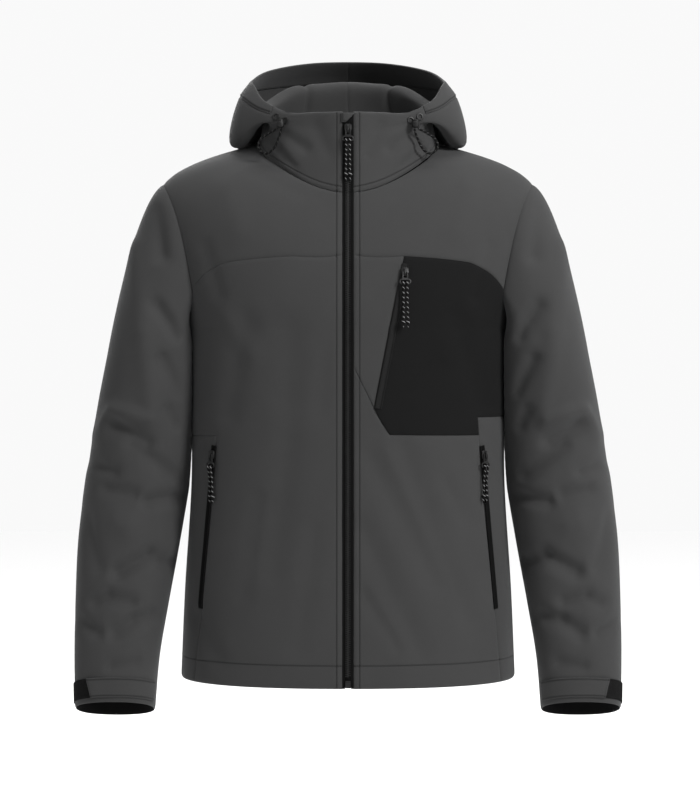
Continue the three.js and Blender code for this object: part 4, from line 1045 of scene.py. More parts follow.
def level_contour(points: Array, normals: Array, up: Array, value: float) -> tuple[Array, Array]:
    """The line on a grid where a distance that rises up its columns reaches a value."""
    return contour(points.transpose(1, 0, 2), normals.transpose(1, 0, 2), up.T, value)


@dataclass
class Stitching:
    """Rows of lock stitches, each a short thread that dives into the cloth at both ends."""

    length: float = 2.7
    pitch: float = 3.5
    thick: float = 0.55
    sides: int = 6
    rows: list[tuple[Array, Array]] = field(default_factory=list)

    def add(self, points: Array, normals: Array, off: float = 0.0) -> None:
        """Adds a row of stitches along a line, moved off the cloth by a distance."""
        self.rows.append((points + normals * off, normals))

    def build(self, name: str) -> bpy.types.Object:
        """Makes one mesh of all rows, whose stitches thin out at both ends and dive there.

        Args:
            name: the piece's name.

        Returns:
            The stitches as one object.
        """
        frames = [self.seats(points, normals) for points, normals in self.rows]
        centre, along, out = (np.concatenate(parts) for parts in zip(*frames))
        across = np.cross(out, along)
        ring = np.array([0.25, 0.85, 1.0, 0.85, 0.25])
        place = np.linspace(-0.5, 0.5, len(ring)) * self.length
        turn = np.arange(self.sides) * 2 * math.pi / self.sides
        radius = ring * self.thick / 2
        shape = np.stack(
            [
                np.repeat(place[:, None], self.sides, 1),
                radius[:, None] * np.cos(turn),
                radius[:, None] * np.sin(turn) - (1 - ring[:, None]) * self.thick * 0.6,
            ],
            axis=-1,
        ).reshape(-1, 3)
        axes = np.stack([along, across, out], axis=1)
        points = centre[:, None] + np.einsum("sk,nkj->nsj", shape, axes)
        shift = (np.arange(len(centre)) * len(shape))[:, None, None]
        faces = [(f + shift).reshape(-1, f.shape[1]) for f in tube_faces(len(ring), self.sides)]
        return new_object(name, points.reshape(-1, 3), faces)

    def seats(self, points: Array, normals: Array) -> tuple[Array, Array, Array]:
        """Centre, direction and normal of each stitch along a line, by its length."""
        arc = lengths(points)
        count = max(1, int(arc[-1] / self.pitch))
        at = (np.arange(count) + 0.5) * arc[-1] / count
        along = unit(sampled(at + 0.5, arc, points) - sampled(at - 0.5, arc, points))
        out = sampled(at, arc, normals)
        out = unit(out - along * (out * along).sum(-1, keepdims=True))
        return sampled(at, arc, points), along, out


@dataclass(frozen=True)
class Cord:
    """A cord's diameter, a direction that it never takes, and how far before its end it is knotted."""

    thick: float
    facing: Array
    knot: float = 0.0
    sides: int = 14


def braided_tube(name: str, path: Array, cord: Cord) -> bpy.types.Object:
    """A braided cord along a path.

    Its radius swells by 6% where the product of two opposite helices is high, and rounds off at
    both ends as a quarter circle. A knot at a distance d swells it by 0.95 exp(-(d / 2.6)^2), with
    two strands that wind over it, and the tail behind the knot is thinner. UV runs once round, and
    in metres along.

    Args:
        name: the piece's name.
        path: points along it, (count, 3), in mm.
        cord: its sizes.

    Returns:
        The cord as a closed mesh.
    """
    arc = lengths(path)
    along = unit(np.gradient(path, axis=0))
    side = unit(cord.facing - along * (along @ cord.facing)[:, None])
    other = np.cross(along, side)
    thick, knot, sides = cord.thick, cord.knot, cord.sides
    turn = np.arange(sides) * 2 * math.pi / sides
    weave = np.sin(2 * turn + arc[:, None] * 1.9) * np.sin(2 * turn - arc[:, None] * 1.9)
    end = np.minimum(arc, arc[-1] - arc) / (0.5 * thick)
    round_off = np.sqrt(np.clip(1 - (1 - np.clip(end, 0.08, 1)) ** 2, 0, 1))
    radius = thick / 2 * (0.97 + 0.06 * weave) * round_off[:, None]
    if knot:
        away = (arc - arc[-1] + knot)[:, None]
        swell = np.exp(-((away / 2.6) ** 2))
        tail = 1 - 0.3 * smooth(away, 1.0, 3.5)
        radius = radius * tail * (1 + swell * (0.95 + 0.22 * np.sin(2 * turn + away * 1.4)))
    points = path[:, None] + radius[..., None] * (
        np.cos(turn)[:, None] * side[:, None] + np.sin(turn)[:, None] * other[:, None]
    )
    u = np.arange(sides + 1) / sides
    grid = np.stack(np.broadcast_arrays(u[None], arc[:, None] * MM), axis=-1)
    corner = np.stack([grid[:-1, :-1], grid[:-1, 1:], grid[1:, 1:], grid[1:, :-1]], axis=-2)
    ends = np.zeros((2 * sides, 2))
    ends[sides:, 1] = arc[-1] * MM
    uv = np.concatenate([corner.reshape(-1, 2), ends])
    return new_object(name, points.reshape(-1, 3), tube_faces(len(path), sides), uv)


# ---- Shader graphs


class Graph:
    """A material's node tree, with one method that makes any node."""

    def __init__(self, name: str) -> None:
        """Starts a material with a Principled BSDF on its output."""
        self.material = bpy.data.materials.new(name)
        self.material.use_nodes = True
        self.tree = self.material.node_tree
        self.tree.nodes.clear()
        self.shader = self.node("BsdfPrincipled")
        output = self.node("OutputMaterial")
        self.tree.links.new(self.shader.outputs[0], output.inputs[0])

    def node(self, kind: str, settings: dict | None = None, inputs: dict | None = None) -> bpy.types.Node:
        """Makes a node.

        Args:
            kind: the node's type without ShaderNode.
            settings: its own settings, set before its sockets are read.
            inputs: values or links by the name or number of the socket.

        Returns:
            The new node.
        """
        made = self.tree.nodes.new(f"ShaderNode{kind}")
        for key, value in (settings or {}).items():
            setattr(made, key, value)
        for key, value in (inputs or {}).items():
            self.feed(made.inputs[key], value)
        return made

    def feed(self, socket: bpy.types.NodeSocket, value: object) -> None:
        """Sets a socket to a number, a colour or a link."""
        if isinstance(value, Num):
            value = value.socket
        if isinstance(value, bpy.types.NodeSocket):
            self.tree.links.new(value, socket)
        else:
            socket.default_value = value

    def num(self, node: bpy.types.Node, output: str | int = 0) -> Num:
        """A node's output as a number for expressions."""
        return Num(self, node.outputs[output])

    def attribute(self, name: str) -> Num:
        """A number that the mesh holds at each point."""
        return self.num(self.node("Attribute", {"attribute_name": name}), "Fac")

    def uv(self) -> tuple[Num, Num]:
        """The piece's own metres across and up."""
        split = self.node("SeparateXYZ", None, {0: self.node("UVMap").outputs[0]})
        return self.num(split, 0), self.num(split, 1)

    def noise(self, scale: float, detail: float = 2.0, rough: float = 0.5) -> Num:
        """Noise in the piece's own metres."""
        place = self.node("TexCoord").outputs["Object"]
        inputs = {"Vector": place, "Scale": scale, "Detail": detail, "Roughness": rough}
        return self.num(self.node("TexNoise", None, inputs), "Fac")

    def blend(self, share: Num, low: Colour | bpy.types.NodeSocket, high: Colour) -> bpy.types.NodeSocket:
        """A colour between two, by a share from 0 to 1."""
        mix = self.node("Mix", {"data_type": "RGBA"}, {"Factor": share})
        self.feed(mix.inputs[6], low)
        self.feed(mix.inputs[7], high)
        return mix.outputs[2]

    def relief(self, height: Num, metres: float) -> None:
        """Feeds a height of so many metres to the shader's normal."""
        bump = self.node("Bump", None, {"Strength": 1.0, "Distance": metres, "Height": height})
        self.feed(self.shader.inputs["Normal"], bump.outputs[0])

    def surface(self, **values: object) -> bpy.types.Material:
        """Sets the shader's sockets by name, with _ for a space."""
        for key, value in values.items():
            self.feed(self.shader.inputs[key.replace("_", " ")], value)
        return self.material


class Num:
    """A number in a graph, with the operators that the finishes use."""

    def __init__(self, graph: Graph, socket: bpy.types.NodeSocket) -> None:
        """Wraps a socket."""
        self.graph, self.socket = graph, socket

    def _math(self, operation: str, *values: object) -> Num:
        """A Math node on values."""
        settings = {"operation": operation}
        return self.graph.num(self.graph.node("Math", settings, dict(enumerate(values))))

    def __add__(self, other: object) -> Num:
        """Sum."""
        return self._math("ADD", self, other)

    def __sub__(self, other: object) -> Num:
        """Difference."""
        return self._math("SUBTRACT", self, other)

    def __rsub__(self, other: object) -> Num:
        """Difference from a number."""
        return self._math("SUBTRACT", other, self)

    def __mul__(self, other: object) -> Num:
        """Product."""
        return self._math("MULTIPLY", self, other)

    def sine(self) -> Num:
        """Sine of an angle."""
        return self._math("SINE", self)

    def size(self) -> Num:
        """The number without its sign."""
        return self._math("ABSOLUTE", self)

    def between(self, low: float, high: float) -> Num:
        """Rises smoothly from 0 at low to 1 at high."""
        settings = {"interpolation_type": "SMOOTHSTEP"}
        inputs = {"Value": self, "From Min": low, "From Max": high}
        return self.graph.num(self.graph.node("MapRange", settings, inputs))

    def bell(self, wide: float) -> Num:
        """exp(-(x / wide)^2)."""
        return self._math("POWER", math.e, self * self * (-1 / wide**2))


# ---- Finishes

Colour = tuple[float, float, float, float]


def grey(level: float, warm: float = 0.0) -> Colour:
    """A near-neutral colour from a level of 0 to 255 on a screen, as linear light."""
    linear = [((c / 255 + 0.055) / 1.055) ** 2.4 for c in (level + warm, level, level - warm)]
    return (*linear, 1.0)


@dataclass(frozen=True)
class Softshell:
    """Bonded shell cloth: a very fine twill over a soft face, with channels under its stitches that hold
    painted shade.
    """

    name: str
    level: float
    weave: float = 0.0009
    mottle: float = 5.0
    relief: float = 0.00011
    channel: float = 0.0006
    sheen: float = 0.045
    gloss: float = 0.12

    def make(self) -> bpy.types.Material:
        """Twill height is sin(x + y) * (0.6 + 0.4 sin(x - y)) of the piece's own metres.

        Shade is painted into the channels: the base colour darkens there towards 0.45 of the cloth's
        level, while the bump dents them.
        """
        g = Graph(self.name)
        across, up = g.uv()
        turns = 2 * math.pi / self.weave
        x, y = across * turns, up * turns
        twill = (x + y).sine() * ((x - y).sine() * 0.4 + 0.6)
        grain = g.noise(1400, 2.0)
        cloud = g.noise(26, 3.0)
        # The channel mask dents the relief and sets the share of painted shade in the base colour
        channel = g.attribute("line_a").bell(1.1) + g.attribute("line_b").bell(1.1)
        share = (grain * 0.7 + cloud * 0.45 + twill * 0.06).between(0.25, 0.9)
        dark, light = grey(self.level - self.mottle), grey(self.level + self.mottle)
        height = twill * 0.5 + grain * 0.8 - channel * (self.channel / self.relief)
        g.relief(height, self.relief)
        return g.surface(
            # Painted shade: the base colour darkens in the stitch channels
            Base_Color=g.blend(channel * 0.55, g.blend(share, dark, light), grey(self.level * 0.45)),
            Roughness=(cloud * 0.1 + 0.78),
            Sheen_Weight=self.sheen,
            Sheen_Roughness=0.5,
            Sheen_Tint=(0.85, 0.86, 0.88, 1.0),
            Specular_IOR_Level=self.gloss,
        )


@dataclass(frozen=True)
class WovenTape:
    """Zip tape: a herringbone weave along the tape."""

    name: str
    level: float
    rib: float = 0.0011

    def make(self) -> bpy.types.Material:
        """Ribs are sin(z + 1.5 |sin x|), with x and z in turns of one rib."""
        g = Graph(self.name)
        place = g.node("SeparateXYZ", None, {0: g.node("TexCoord").outputs["Object"]})
        x, z = g.num(place, 0), g.num(place, 2)
        turns = 2 * math.pi / self.rib
        rib = (z * turns + (x * turns).sine().size() * 1.5).sine()
        grain = g.noise(1800)
        share = (rib * 0.15 + grain).between(0.25, 0.85)
        g.relief(rib * 0.6 + grain * 0.6, 0.00012)
        return g.surface(
            Base_Color=g.blend(share, grey(self.level - 3), grey(self.level + 5)),
            Roughness=grain * 0.15 + 0.75,
            Specular_IOR_Level=0.015,
        )


@dataclass(frozen=True)
class HookTape:
    """The hook side of a touch fastener: dense rows of small hooks."""

    name: str
    level: float

    def make(self) -> bpy.types.Material:
        """Hooks are cells of a Voronoi pattern in the piece's metres."""
        g = Graph(self.name)
        place = g.node("TexCoord").outputs["Object"]
        cells = g.num(g.node("TexVoronoi", None, {"Vector": place, "Scale": 900.0}), "Distance")
        grain = g.noise(2200)
        g.relief(cells * 1.2 + grain * 0.4, 0.0004)
        return g.surface(
            Base_Color=g.blend(cells.between(0.1, 0.7), grey(self.level - 4), grey(self.level + 8)),
            Roughness=0.85,
            Specular_IOR_Level=0.02,
        )


@dataclass(frozen=True)
class Moulded:
    """Moulded plastic with a fine spark-eroded grain."""

    name: str
    level: float
    rough: float = 0.42

    def make(self) -> bpy.types.Material:
        """Roughness and colour vary a little with noise."""
        g = Graph(self.name)
        grain, cloud = g.noise(2600, 1.0), g.noise(160, 2.0)
        g.relief(grain, 0.00005)
        return g.surface(
            Base_Color=g.blend(cloud.between(0.3, 0.7), grey(self.level - 2), grey(self.level + 3)),
            Roughness=cloud * 0.12 + self.rough,
            Specular_IOR_Level=0.12,
        )


@dataclass(frozen=True)
class Lacquered:
    """Black lacquered zinc, a little thinner and brighter where noise says that it has rubbed."""

    name: str
    level: float

    def make(self) -> bpy.types.Material:
        """Wear is the top of a fine noise."""
        g = Graph(self.name)
        wear = g.noise(420, 3.0).between(0.6, 0.82)
        g.relief(g.noise(1500, 1.0), 0.00004)
        return g.surface(
            Base_Color=g.blend(wear, grey(self.level), grey(self.level + 16)),
            Roughness=0.46 - wear * 0.08,
            Metallic=wear * 0.3 + 0.1,
            Specular_IOR_Level=0.2,
        )


@dataclass(frozen=True)
class Braid:
    """Braided cord, near black with light flecks where a contrasting yarn comes up."""

    name: str
    level: float
    fleck: float
    pitch: float = 0.006
    crest: float = 0.87

    def make(self) -> bpy.types.Material:
        """Flecks are the crest of one helix, broken up where opposite helices cross."""
        g = Graph(self.name)
        round_it, along = g.uv()
        turn, way = round_it * (2 * math.pi), along * (2 * math.pi / self.pitch)
        crossing = (turn * 2 + way * 2).sine() * (turn * 2 - way * 2).sine()
        fleck = (turn + way).sine().between(self.crest, self.crest + 0.12)
        fibre = g.noise(2400)
        g.relief(crossing * 0.5 + fibre * 0.5, 0.0002)
        return g.surface(
            Base_Color=g.blend(fleck, grey(self.level), grey(self.fleck)),
            Roughness=fibre * 0.2 + 0.6,
            Specular_IOR_Level=0.03,
        )


@dataclass(frozen=True)
class Thread:
    """Sewing thread: twisted, a little glossier than the cloth."""

    name: str
    level: float

    def make(self) -> bpy.types.Material:
        """The twist shows as fine noise."""
        g = Graph(self.name)
        fibre = g.noise(3000)
        g.relief(fibre, 0.00005)
        return g.surface(
            Base_Color=g.blend(fibre, grey(self.level - 3), grey(self.level + 4)),
            Roughness=0.6,
            Specular_IOR_Level=0.04,
        )


def make_finishes() -> dict[str, bpy.types.Material]:
    """Makes each finish once, by the name that pieces ask for."""
    return dict(
        shell=Softshell("charcoal softshell", 31.5, mottle=2.3).make(),
        panel=Softshell("black softshell", 10.5, mottle=1.2, sheen=0.012, gloss=0.03).make(),
        # Painted shade: near black, for the inner faces of the sleeves, where shade falls inside them
        inner_face=Softshell("dark lining", 9, mottle=1.0, sheen=0.02, gloss=0.02).make(),
        tape=WovenTape("zip tape", 7).make(),
        welt=WovenTape("pocket welt", 19).make(),
        patch=HookTape("hook tape", 7).make(),
        plastic=Moulded("black plastic", 9).make(),
        metal=Lacquered("black lacquer", 9).make(),
        cord=Braid("flecked braid", 7, 100).make(),
        loop=Braid("draw cord braid", 7, 84, crest=0.93).make(),
        # Painted shade: this thread is set much darker than the cloth, for the shade along the stitch
        # lines
        thread=Thread("charcoal thread", 11).make(),
        dark_thread=Thread("black thread", 8).make(),
    )


# ---- Putting pieces on the frame


@dataclass
class Dresser:
    """Gives pieces their finish and their body, hides the nodes that they stand for, and reports them."""

    finishes: dict[str, bpy.types.Material]

    def dress(
        self, obj: bpy.types.Object, finish: str, nodes: Sequence[str] = (), body: str = "jacket"
    ) -> bpy.types.Object:
        """Finishes a piece.

        Args:
            obj: the piece.
            finish: the name of one of the finishes.
            nodes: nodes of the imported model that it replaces.
            body: the body that it rides on.

        Returns:
            The same piece.
        """
        while obj.data.materials:
            obj.data.materials.pop()
        obj.data.materials.append(self.finishes[finish])
        "thread" not in finish
        if nodes:
            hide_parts(*nodes)
        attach(obj, body)
        log.info("%s: %d faces", obj.name, len(obj.data.polygons))
        return obj

    def lay(self, cloth: Cloth, finish: str, node: str) -> None:
        """Builds a piece of cloth and declares its flat cut. A piece shaded inside also gets a near-black
        finish on its inner faces, as painted shade.
        """
        obj = self.dress(cloth.build(), finish, [node])
        if cloth.shaded_inside:
            obj.data.materials.append(self.finishes["inner_face"])

    def string(
        self, name: str, path: Array, cord: Cord, finish: str, node: str, body: str = "jacket"
    ) -> None:
        """Makes a braided cord along a path that hangs.

        Args:
            name: the piece's name.
            path: points along it, in mm.
            cord: its sizes.
            finish: the name of its finish.
            node: the node that it replaces.
            body: the body that it rides on.
        """
        obj = self.dress(braided_tube(name, path, cord), finish, [node], body)
        path[0] * MM
        cord.thick * MM
        (path * MM).tolist()

    def soften(self, node: str, width: float, finish: str, body: str = "jacket") -> bpy.types.Object:
        """A node's shape with its edges rounded by a bevel.

        Args:
            node: the node.
            width: the bevel's width in mm.
            finish: the name of its finish.
            body: the body that it rides on.

        Returns:
            The new piece, which replaces the node.
        """
        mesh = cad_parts[node].data.copy()
        shape = bmesh.new()
        shape.from_mesh(mesh)
        bmesh.ops.remove_doubles(shape, verts=shape.verts, dist=2e-6)
        bmesh.ops.dissolve_limit(
            shape, angle_limit=math.radians(2), verts=shape.verts, edges=shape.edges
        )
        shape.to_mesh(mesh)
        shape.free()
        mesh.name = f"{node}_finished"
        obj = bpy.data.objects.new(mesh.name, mesh)
        bpy.context.scene.collection.objects.link(obj)
        mesh.polygons.foreach_set("use_smooth", np.ones(len(mesh.polygons), bool))
        bevel = obj.modifiers.new("rounded edges", "BEVEL")
        bevel.width, bevel.segments, bevel.limit_method = width * MM, 2, "ANGLE"
        bevel.angle_limit, bevel.harden_normals = math.radians(28), True
        return self.dress(obj, finish, [node], body)


# ---- The body of the jacket


@dataclass
class Body:
    """Panels of the torso: fronts, chest pocket, side panels, yokes and back."""

    torso: Torso
    dresser: Dresser
    stitches: Stitching = field(default_factory=Stitching)

    def panels(self, side: Side) -> None:
        """Cuts and lays the front pieces of one side."""
        cut = FrontCut(self.torso, LEFT_CROSSINGS if side is Side.LEFT else RIGHT_CROSSINGS)
        places = cut.places()
        points, normals, firm = self.torso.laid(places, side.value)
        up = arcs(points, 0)
        rows, columns = np.indices((len(places) - 1, places.shape[1] - 1))
        row, column = cut.row_at, cut.column_at
        top = row[2] if side is Side.LEFT else row[1]
        flank = (rows < top) & (columns >= column[2])
        beside = np.abs(points[..., 0]) - ZIP_EDGE
        line_a, line_b = beside - TOPSTITCH, up - HEM_TURN
        if side is Side.RIGHT:
            pieces = {"side_right": flank, "front_right": ~flank}
        else:
            near, low = columns < column[1], rows < row[1]
            lower = ~flank & np.where(near, rows < row[3], low)
            inner = near & (rows >= row[3])
            pocket = ~flank & ~near & ~low
            pieces = {
                "side_left": flank,
                "front_left_lower": lower,
                "front_left_inner": inner,
                "chest_pocket_panel": pocket,
            }
        for node, covers in pieces.items():
            finish = "panel" if node == "chest_pocket_panel" else "shell"
            lines = (np.full_like(up, FAR), line_b) if "side" in node else (line_a, line_b)
            if node == "chest_pocket_panel":
                lines = ()
            cloth = Cloth(f"{node}_cloth", points, normals, covers, lines=lines, firm=firm)
            self.dresser.lay(cloth, finish, node)
        self.yoke(cut, side)
        self.stitches.add(*contour(points, normals, beside, TOPSTITCH))
        self.stitches.add(*level_contour(points, normals, up, HEM_TURN))

    def yoke(self, cut: FrontCut, side: Side) -> None:
        """Lays one yoke, topstitched beside the zip."""
        points, normals, firm = self.torso.laid(cut.yoke_places(), side.value)
        beside = np.abs(points[..., 0]) - ZIP_EDGE
        node = f"yoke_{side.word}"
        cloth = Cloth(f"{node}_cloth", points, normals, lines=(beside - TOPSTITCH,), firm=firm)
        self.dresser.lay(cloth, "shell", node)
        self.stitches.add(*contour(points, normals, beside, TOPSTITCH))

    def back(self) -> None:
        """Lays the back in one piece, with the turned hem's stitches."""
        points, normals, firm = self.torso.laid(back_places(self.torso.armhole))
        up = arcs(points, 0)
        cloth = Cloth("back_cloth", points, normals, lines=(up - HEM_TURN,), firm=firm)
        self.dresser.lay(cloth, "shell", "back")
        self.stitches.add(*level_contour(points, normals, up, HEM_TURN))

    def build(self) -> None:
        """Makes all panels and their stitches."""
        for side in Side:
            self.panels(side)
        self.back()
        self.dresser.dress(self.stitches.build("body_stitches"), "thread")


@dataclass
class Sleeves:
    """Both sleeves, with their cuff straps and hook patches."""

    form: SleeveForm
    dresser: Dresser
    strap_levels: tuple[float, float] = (1.986, 1.932)
    strap: tuple[float, float] = (9, 3)
    patch: tuple[float, float] = (3, -1)
    strip_tall: float = 25.0
    node_wide: float = 13.0
    nodes: int = 20
    strap_thick: float = 2.0
    patch_thick: float = 1.2
    slant: float = 0.35
    end_rise: float = 2.0
    cap_tuck: float = 3.5
    inset: float = 2.2

    def strip(self, ends: tuple[float, float], slanted: bool) -> tuple[Array, Array]:
        """A strip on the cuff between two nodes round it: points just off the sleeve, and normals."""
        steps = abs(ends[0] - ends[1])
        s, t = spaced(steps * self.node_wide, 3.0), spaced(self.strip_tall, 3.0)
        last = np.clip(s * steps - (steps - 1), 0, 1)[None] * slanted
        node = mixed(ends[0], ends[1], s)[None] - self.slant * t[:, None] * last
        level = np.broadcast_to(mixed(*self.strap_levels, t)[:, None], node.shape)
        point, normal = self.form.cloth(2 * math.pi * node / self.nodes, level)
        return point + normal * (LIFT + self.end_rise * last)[..., None], normal

    def build(self) -> None:
        """Makes the left pieces and their mirror images."""
        turn = np.linspace(0, 2 * math.pi, 129)
        level = np.concatenate([spaced(150), 1 + spaced(455)[1:]])
        points, normals = self.form.cloth(*np.broadcast_arrays(turn[None], level[:, None]))
        firm = np.broadcast_to(mixed(0.2, 1.0, smooth(level, 0.03, 0.2))[:, None], points.shape[:2])
        tuck = np.zeros(points.shape[:2])
        tuck[0] = self.cap_tuck
        strap, strap_normals = self.strip(self.strap, True)
        hook, hook_normals = self.strip(self.patch, False)
        up = arcs(strap, 0)
        outer = strap + strap_normals * self.strap_thick
        outer_hook = hook + hook_normals * self.patch_thick
        for side in Side:
            flip = np.array([side.value, 1, 1])
            word = side.word
            sleeve = Cloth(
                f"sleeve_{word}_cloth",
                points * flip,
                normals * flip,
                ring=True,
                firm=firm,
                tuck=tuck,
                # The sleeve's inner faces take painted shade
                shaded_inside=True,
            )
            self.dresser.lay(sleeve, "shell", f"sleeve_{word}")
            turned = (outer * flip, strap_normals * flip)
            tab = Cloth(
                f"cuff_strap_{word}",
                *turned,
                wall=self.strap_thick,
                roll=0.5,
                reach=0.9,
                allowance=0.0,
                pucker=0.08,
                lines=(up - self.inset, up[-1:] - up - self.inset),
            )
            self.dresser.lay(tab, "shell", f"cuff_tab_{word}")
            patch_cloth = Cloth(
                f"hook_patch_{word}",
                outer_hook * flip,
                hook_normals * flip,
                wall=self.patch_thick,
                roll=0.3,
                reach=0.7,
                allowance=0.0,
                pucker=0.0,
            )
            self.dresser.lay(patch_cloth, "patch", f"cuff_patch_{word}")
            stitches = Stitching()
            for way in (1, -1):
                p, n = (a[::way].transpose(1, 0, 2) for a in turned)
                stitches.add(*contour(p, n, arcs(p, 1), self.inset))
            for way in (1, -1):
                p, n = (a[:, ::way] for a in turned)
                stitches.add(*contour(p, n, arcs(p, 1), self.inset))
            self.dresser.dress(stitches.build(f"cuff_stitches_{word}"), "thread")


@dataclass
class Hood:
    """The hood in two halves with its standing collar and rim casings."""

    form: HoodForm
    dresser: Dresser
    band_extra: float = 0.8
    band_node: int = 11
    front_nodes: int = 17
    nodes: int = 25
    neck_topstitch: float = 7.0
    rim_topstitch: float = 2.2

    def angles(self, steps: Array, level: Array) -> Array:
        """Angles of coarse column numbers, where the first column keeps beside the zip."""
        start = math.asin(ZIP_EDGE / NECK_FRONT)
        ahead, behind = self.front_nodes, self.nodes - self.front_nodes
        front = mixed(start, QUARTER, np.minimum(steps, ahead) / ahead)
        angle = front + np.maximum(steps - ahead, 0) / behind * QUARTER
        depth = -self.form.points(np.zeros_like(level), level)[..., 1]
        edge = np.arcsin(ZIP_EDGE / depth)
        return angle[None] + (edge[:, None] - start) * np.clip(1 - steps, 0, 1)[None]

    def grid(self, steps: Array, level: Array, extra: float = 0.0) -> tuple[Array, Array]:
        """Points and normals of the outer face, thickened by an extra."""
        angle = self.angles(steps, level)
        points, normals = self.form.cloth(angle, np.broadcast_to(level[:, None], angle.shape))
        return points + normals * extra, normals

    def build(self) -> None:
        """Makes both halves, their casings and stitches."""
        band = self.form.band_level
        before, after, below = spaced(100, 3.0) * self.band_node, spaced(330), spaced(200)
        steps = np.concatenate([before, self.band_node + after[1:] * (self.nodes - self.band_node)])
        level = np.concatenate([below * band, band + spaced(26, 3.0)[1:] * (1 - band)])
        points, normals = self.grid(steps, level)
        rows, columns = np.indices((len(level) - 1, len(steps) - 1))
        row, column = len(below) - 1, len(before) - 1
        is_band = (rows >= row) & (columns >= column)
        rim, rim_normals = self.grid(steps[column:], level[row:], self.band_extra)
        up, rim_up = arcs(points, 0), arcs(rim, 0)
        beside = np.where(steps < self.front_nodes, points[..., 0] - ZIP_EDGE, FAR)
        through = WALL + 2 * self.band_extra
        for side in Side:
            flip = np.array([side.value, 1, 1])
            word = side.word
            half = Cloth(
                f"hood_{word}_cloth",
                points * flip,
                normals * flip,
                ~is_band,
                lines=(beside - TOPSTITCH, up - self.neck_topstitch),
            )
            self.dresser.lay(half, "shell", f"hood_{word}")
            casing = Cloth(
                f"hood_casing_{word}",
                rim * flip,
                rim_normals * flip,
                wall=through,
                roll=0.7,
                lines=(rim_up - self.rim_topstitch,),
            )
            self.dresser.lay(casing, "shell", f"hood_band_{word}")
            stitches = Stitching()
            p, n = points * flip, normals * flip
            stitches.add(*contour(p, n, beside, TOPSTITCH))
            stitches.add(*level_contour(p, n, up, self.neck_topstitch))
            seam, out = level_contour(rim * flip, rim_normals * flip, rim_up, self.rim_topstitch)
            stitches.add(seam, out)
            stitches.add(seam, -out, through)
            self.dresser.dress(stitches.build(f"hood_stitches_{word}"), "thread")


# ---- Zips


@dataclass
class FrontLine:
    """The line up the middle of the front, over the torso and the collar."""

    torso: Torso
    hood: HoodForm
    collar_top: float = 0.985

    def points(self, count: int = 1200) -> tuple[Array, Array]:
        """Points up the middle and their normals, evenly spaced by length."""
        low, high = np.linspace(0, 2, 900), np.linspace(0, self.collar_top, 260)[1:]
        zero = np.zeros_like
        line = np.concatenate([self.torso.points(zero(low), low), self.hood.points(zero(high), high)])
        out = np.concatenate(
            [
                normals_of(self.torso.points, zero(low), np.clip(low, NOD, 2 - NOD)),
                normals_of(self.hood.points, zero(high), np.clip(high, NOD, 1 - NOD)),
            ]
        )
        arc = lengths(line)
        at = np.linspace(0, arc[-1], count)
        return sampled(at, arc, line), unit(sampled(at, arc, out))


@dataclass
class Teeth:
    """Moulded teeth that mesh: each a rounded head on a neck, turn about from both sides."""

    pitch: float = 2.3
    wide: float = 4.4
    tall: float = 1.5
    thick: float = 2.3

    def build(self, name: str, line: Array, out: Array, start: float, end: float) -> bpy.types.Object:
        """Makes the teeth between two lengths along a line.

        Args:
            name: the piece's name.
            line: points up the middle.
            out: their normals.
            start: length at the first tooth.
            end: length at the last tooth.

        Returns:
            The teeth as one object.
        """
        arc = lengths(line)
        at = np.arange(start, end, self.pitch / 2)
        centre = sampled(at, arc, line)
        normal = unit(sampled(at, arc, out))
        along = unit(sampled(at + 1, arc, line) - centre)
        across = np.cross(along, normal) * np.where(np.arange(len(at)) % 2, 1.0, -1.0)[:, None]
        x = np.array([-0.9, -0.7, 0.1, 0.6, self.wide - 1.3, self.wide - 1.1])
        half = np.array([0.25, 0.5, 0.5, 0.32, 0.38, 0.2]) * self.tall
        deep = np.array([0.3, 0.5, 0.5, 0.42, 0.5, 0.3]) * self.thick
        corner = np.array([[-1, -1], [1, -1], [1, 1], [-1, 1]], float)
        shape = np.stack(
            [
                np.repeat(x[:, None], 4, 1),
                half[:, None] * corner[:, 0],
                deep[:, None] * corner[:, 1] - 0.55,
            ],
            axis=-1,
        ).reshape(-1, 3)
        axes = np.stack([across, along, normal], axis=1)
        points = centre[:, None] + np.einsum("sk,nkj->nsj", shape, axes)
        quads = np.concatenate(tube_faces(len(x), 4))
        shift = np.arange(len(at))[:, None, None] * len(shape)
        turned = np.where((np.arange(len(at)) % 2)[:, None, None] == 1, quads, quads[:, ::-1])
        obj = new_object(name, points.reshape(-1, 3), [(turned + shift).reshape(-1, 4)])
        obj.data.polygons.foreach_set("use_smooth", np.zeros(len(obj.data.polygons), bool))
        return obj


def ribbon(
    name: str, line: Array, out: Array, across: Array, profile: Array, ribs: float = 0.0
) -> bpy.types.Object:
    """A strip with a profile carried along a line.

    Args:
        name: the piece's name.
        line: points along it.
        out: their normals.
        across: the way across at each point.
        profile: closed outline as pairs of millimetres across and out.
        ribs: height of ribs on its upper middle, 1.3 mm apart along it.

    Returns:
        The strip as a closed mesh.
    """
    arc = lengths(line)
    middle = (np.abs(profile[:, 0]) < 1.4) & (profile[:, 1] > profile[:, 1].mean())
    rise = ribs * np.sin(arc[:, None] * (2 * math.pi / 1.3)) * middle
    points = (
        line[:, None]
        + across[:, None] * profile[:, :1]
        + out[:, None] * (profile[:, 1] + rise)[..., None]
    )
    return new_object(name, points.reshape(-1, 3), tube_faces(len(line), len(profile)))


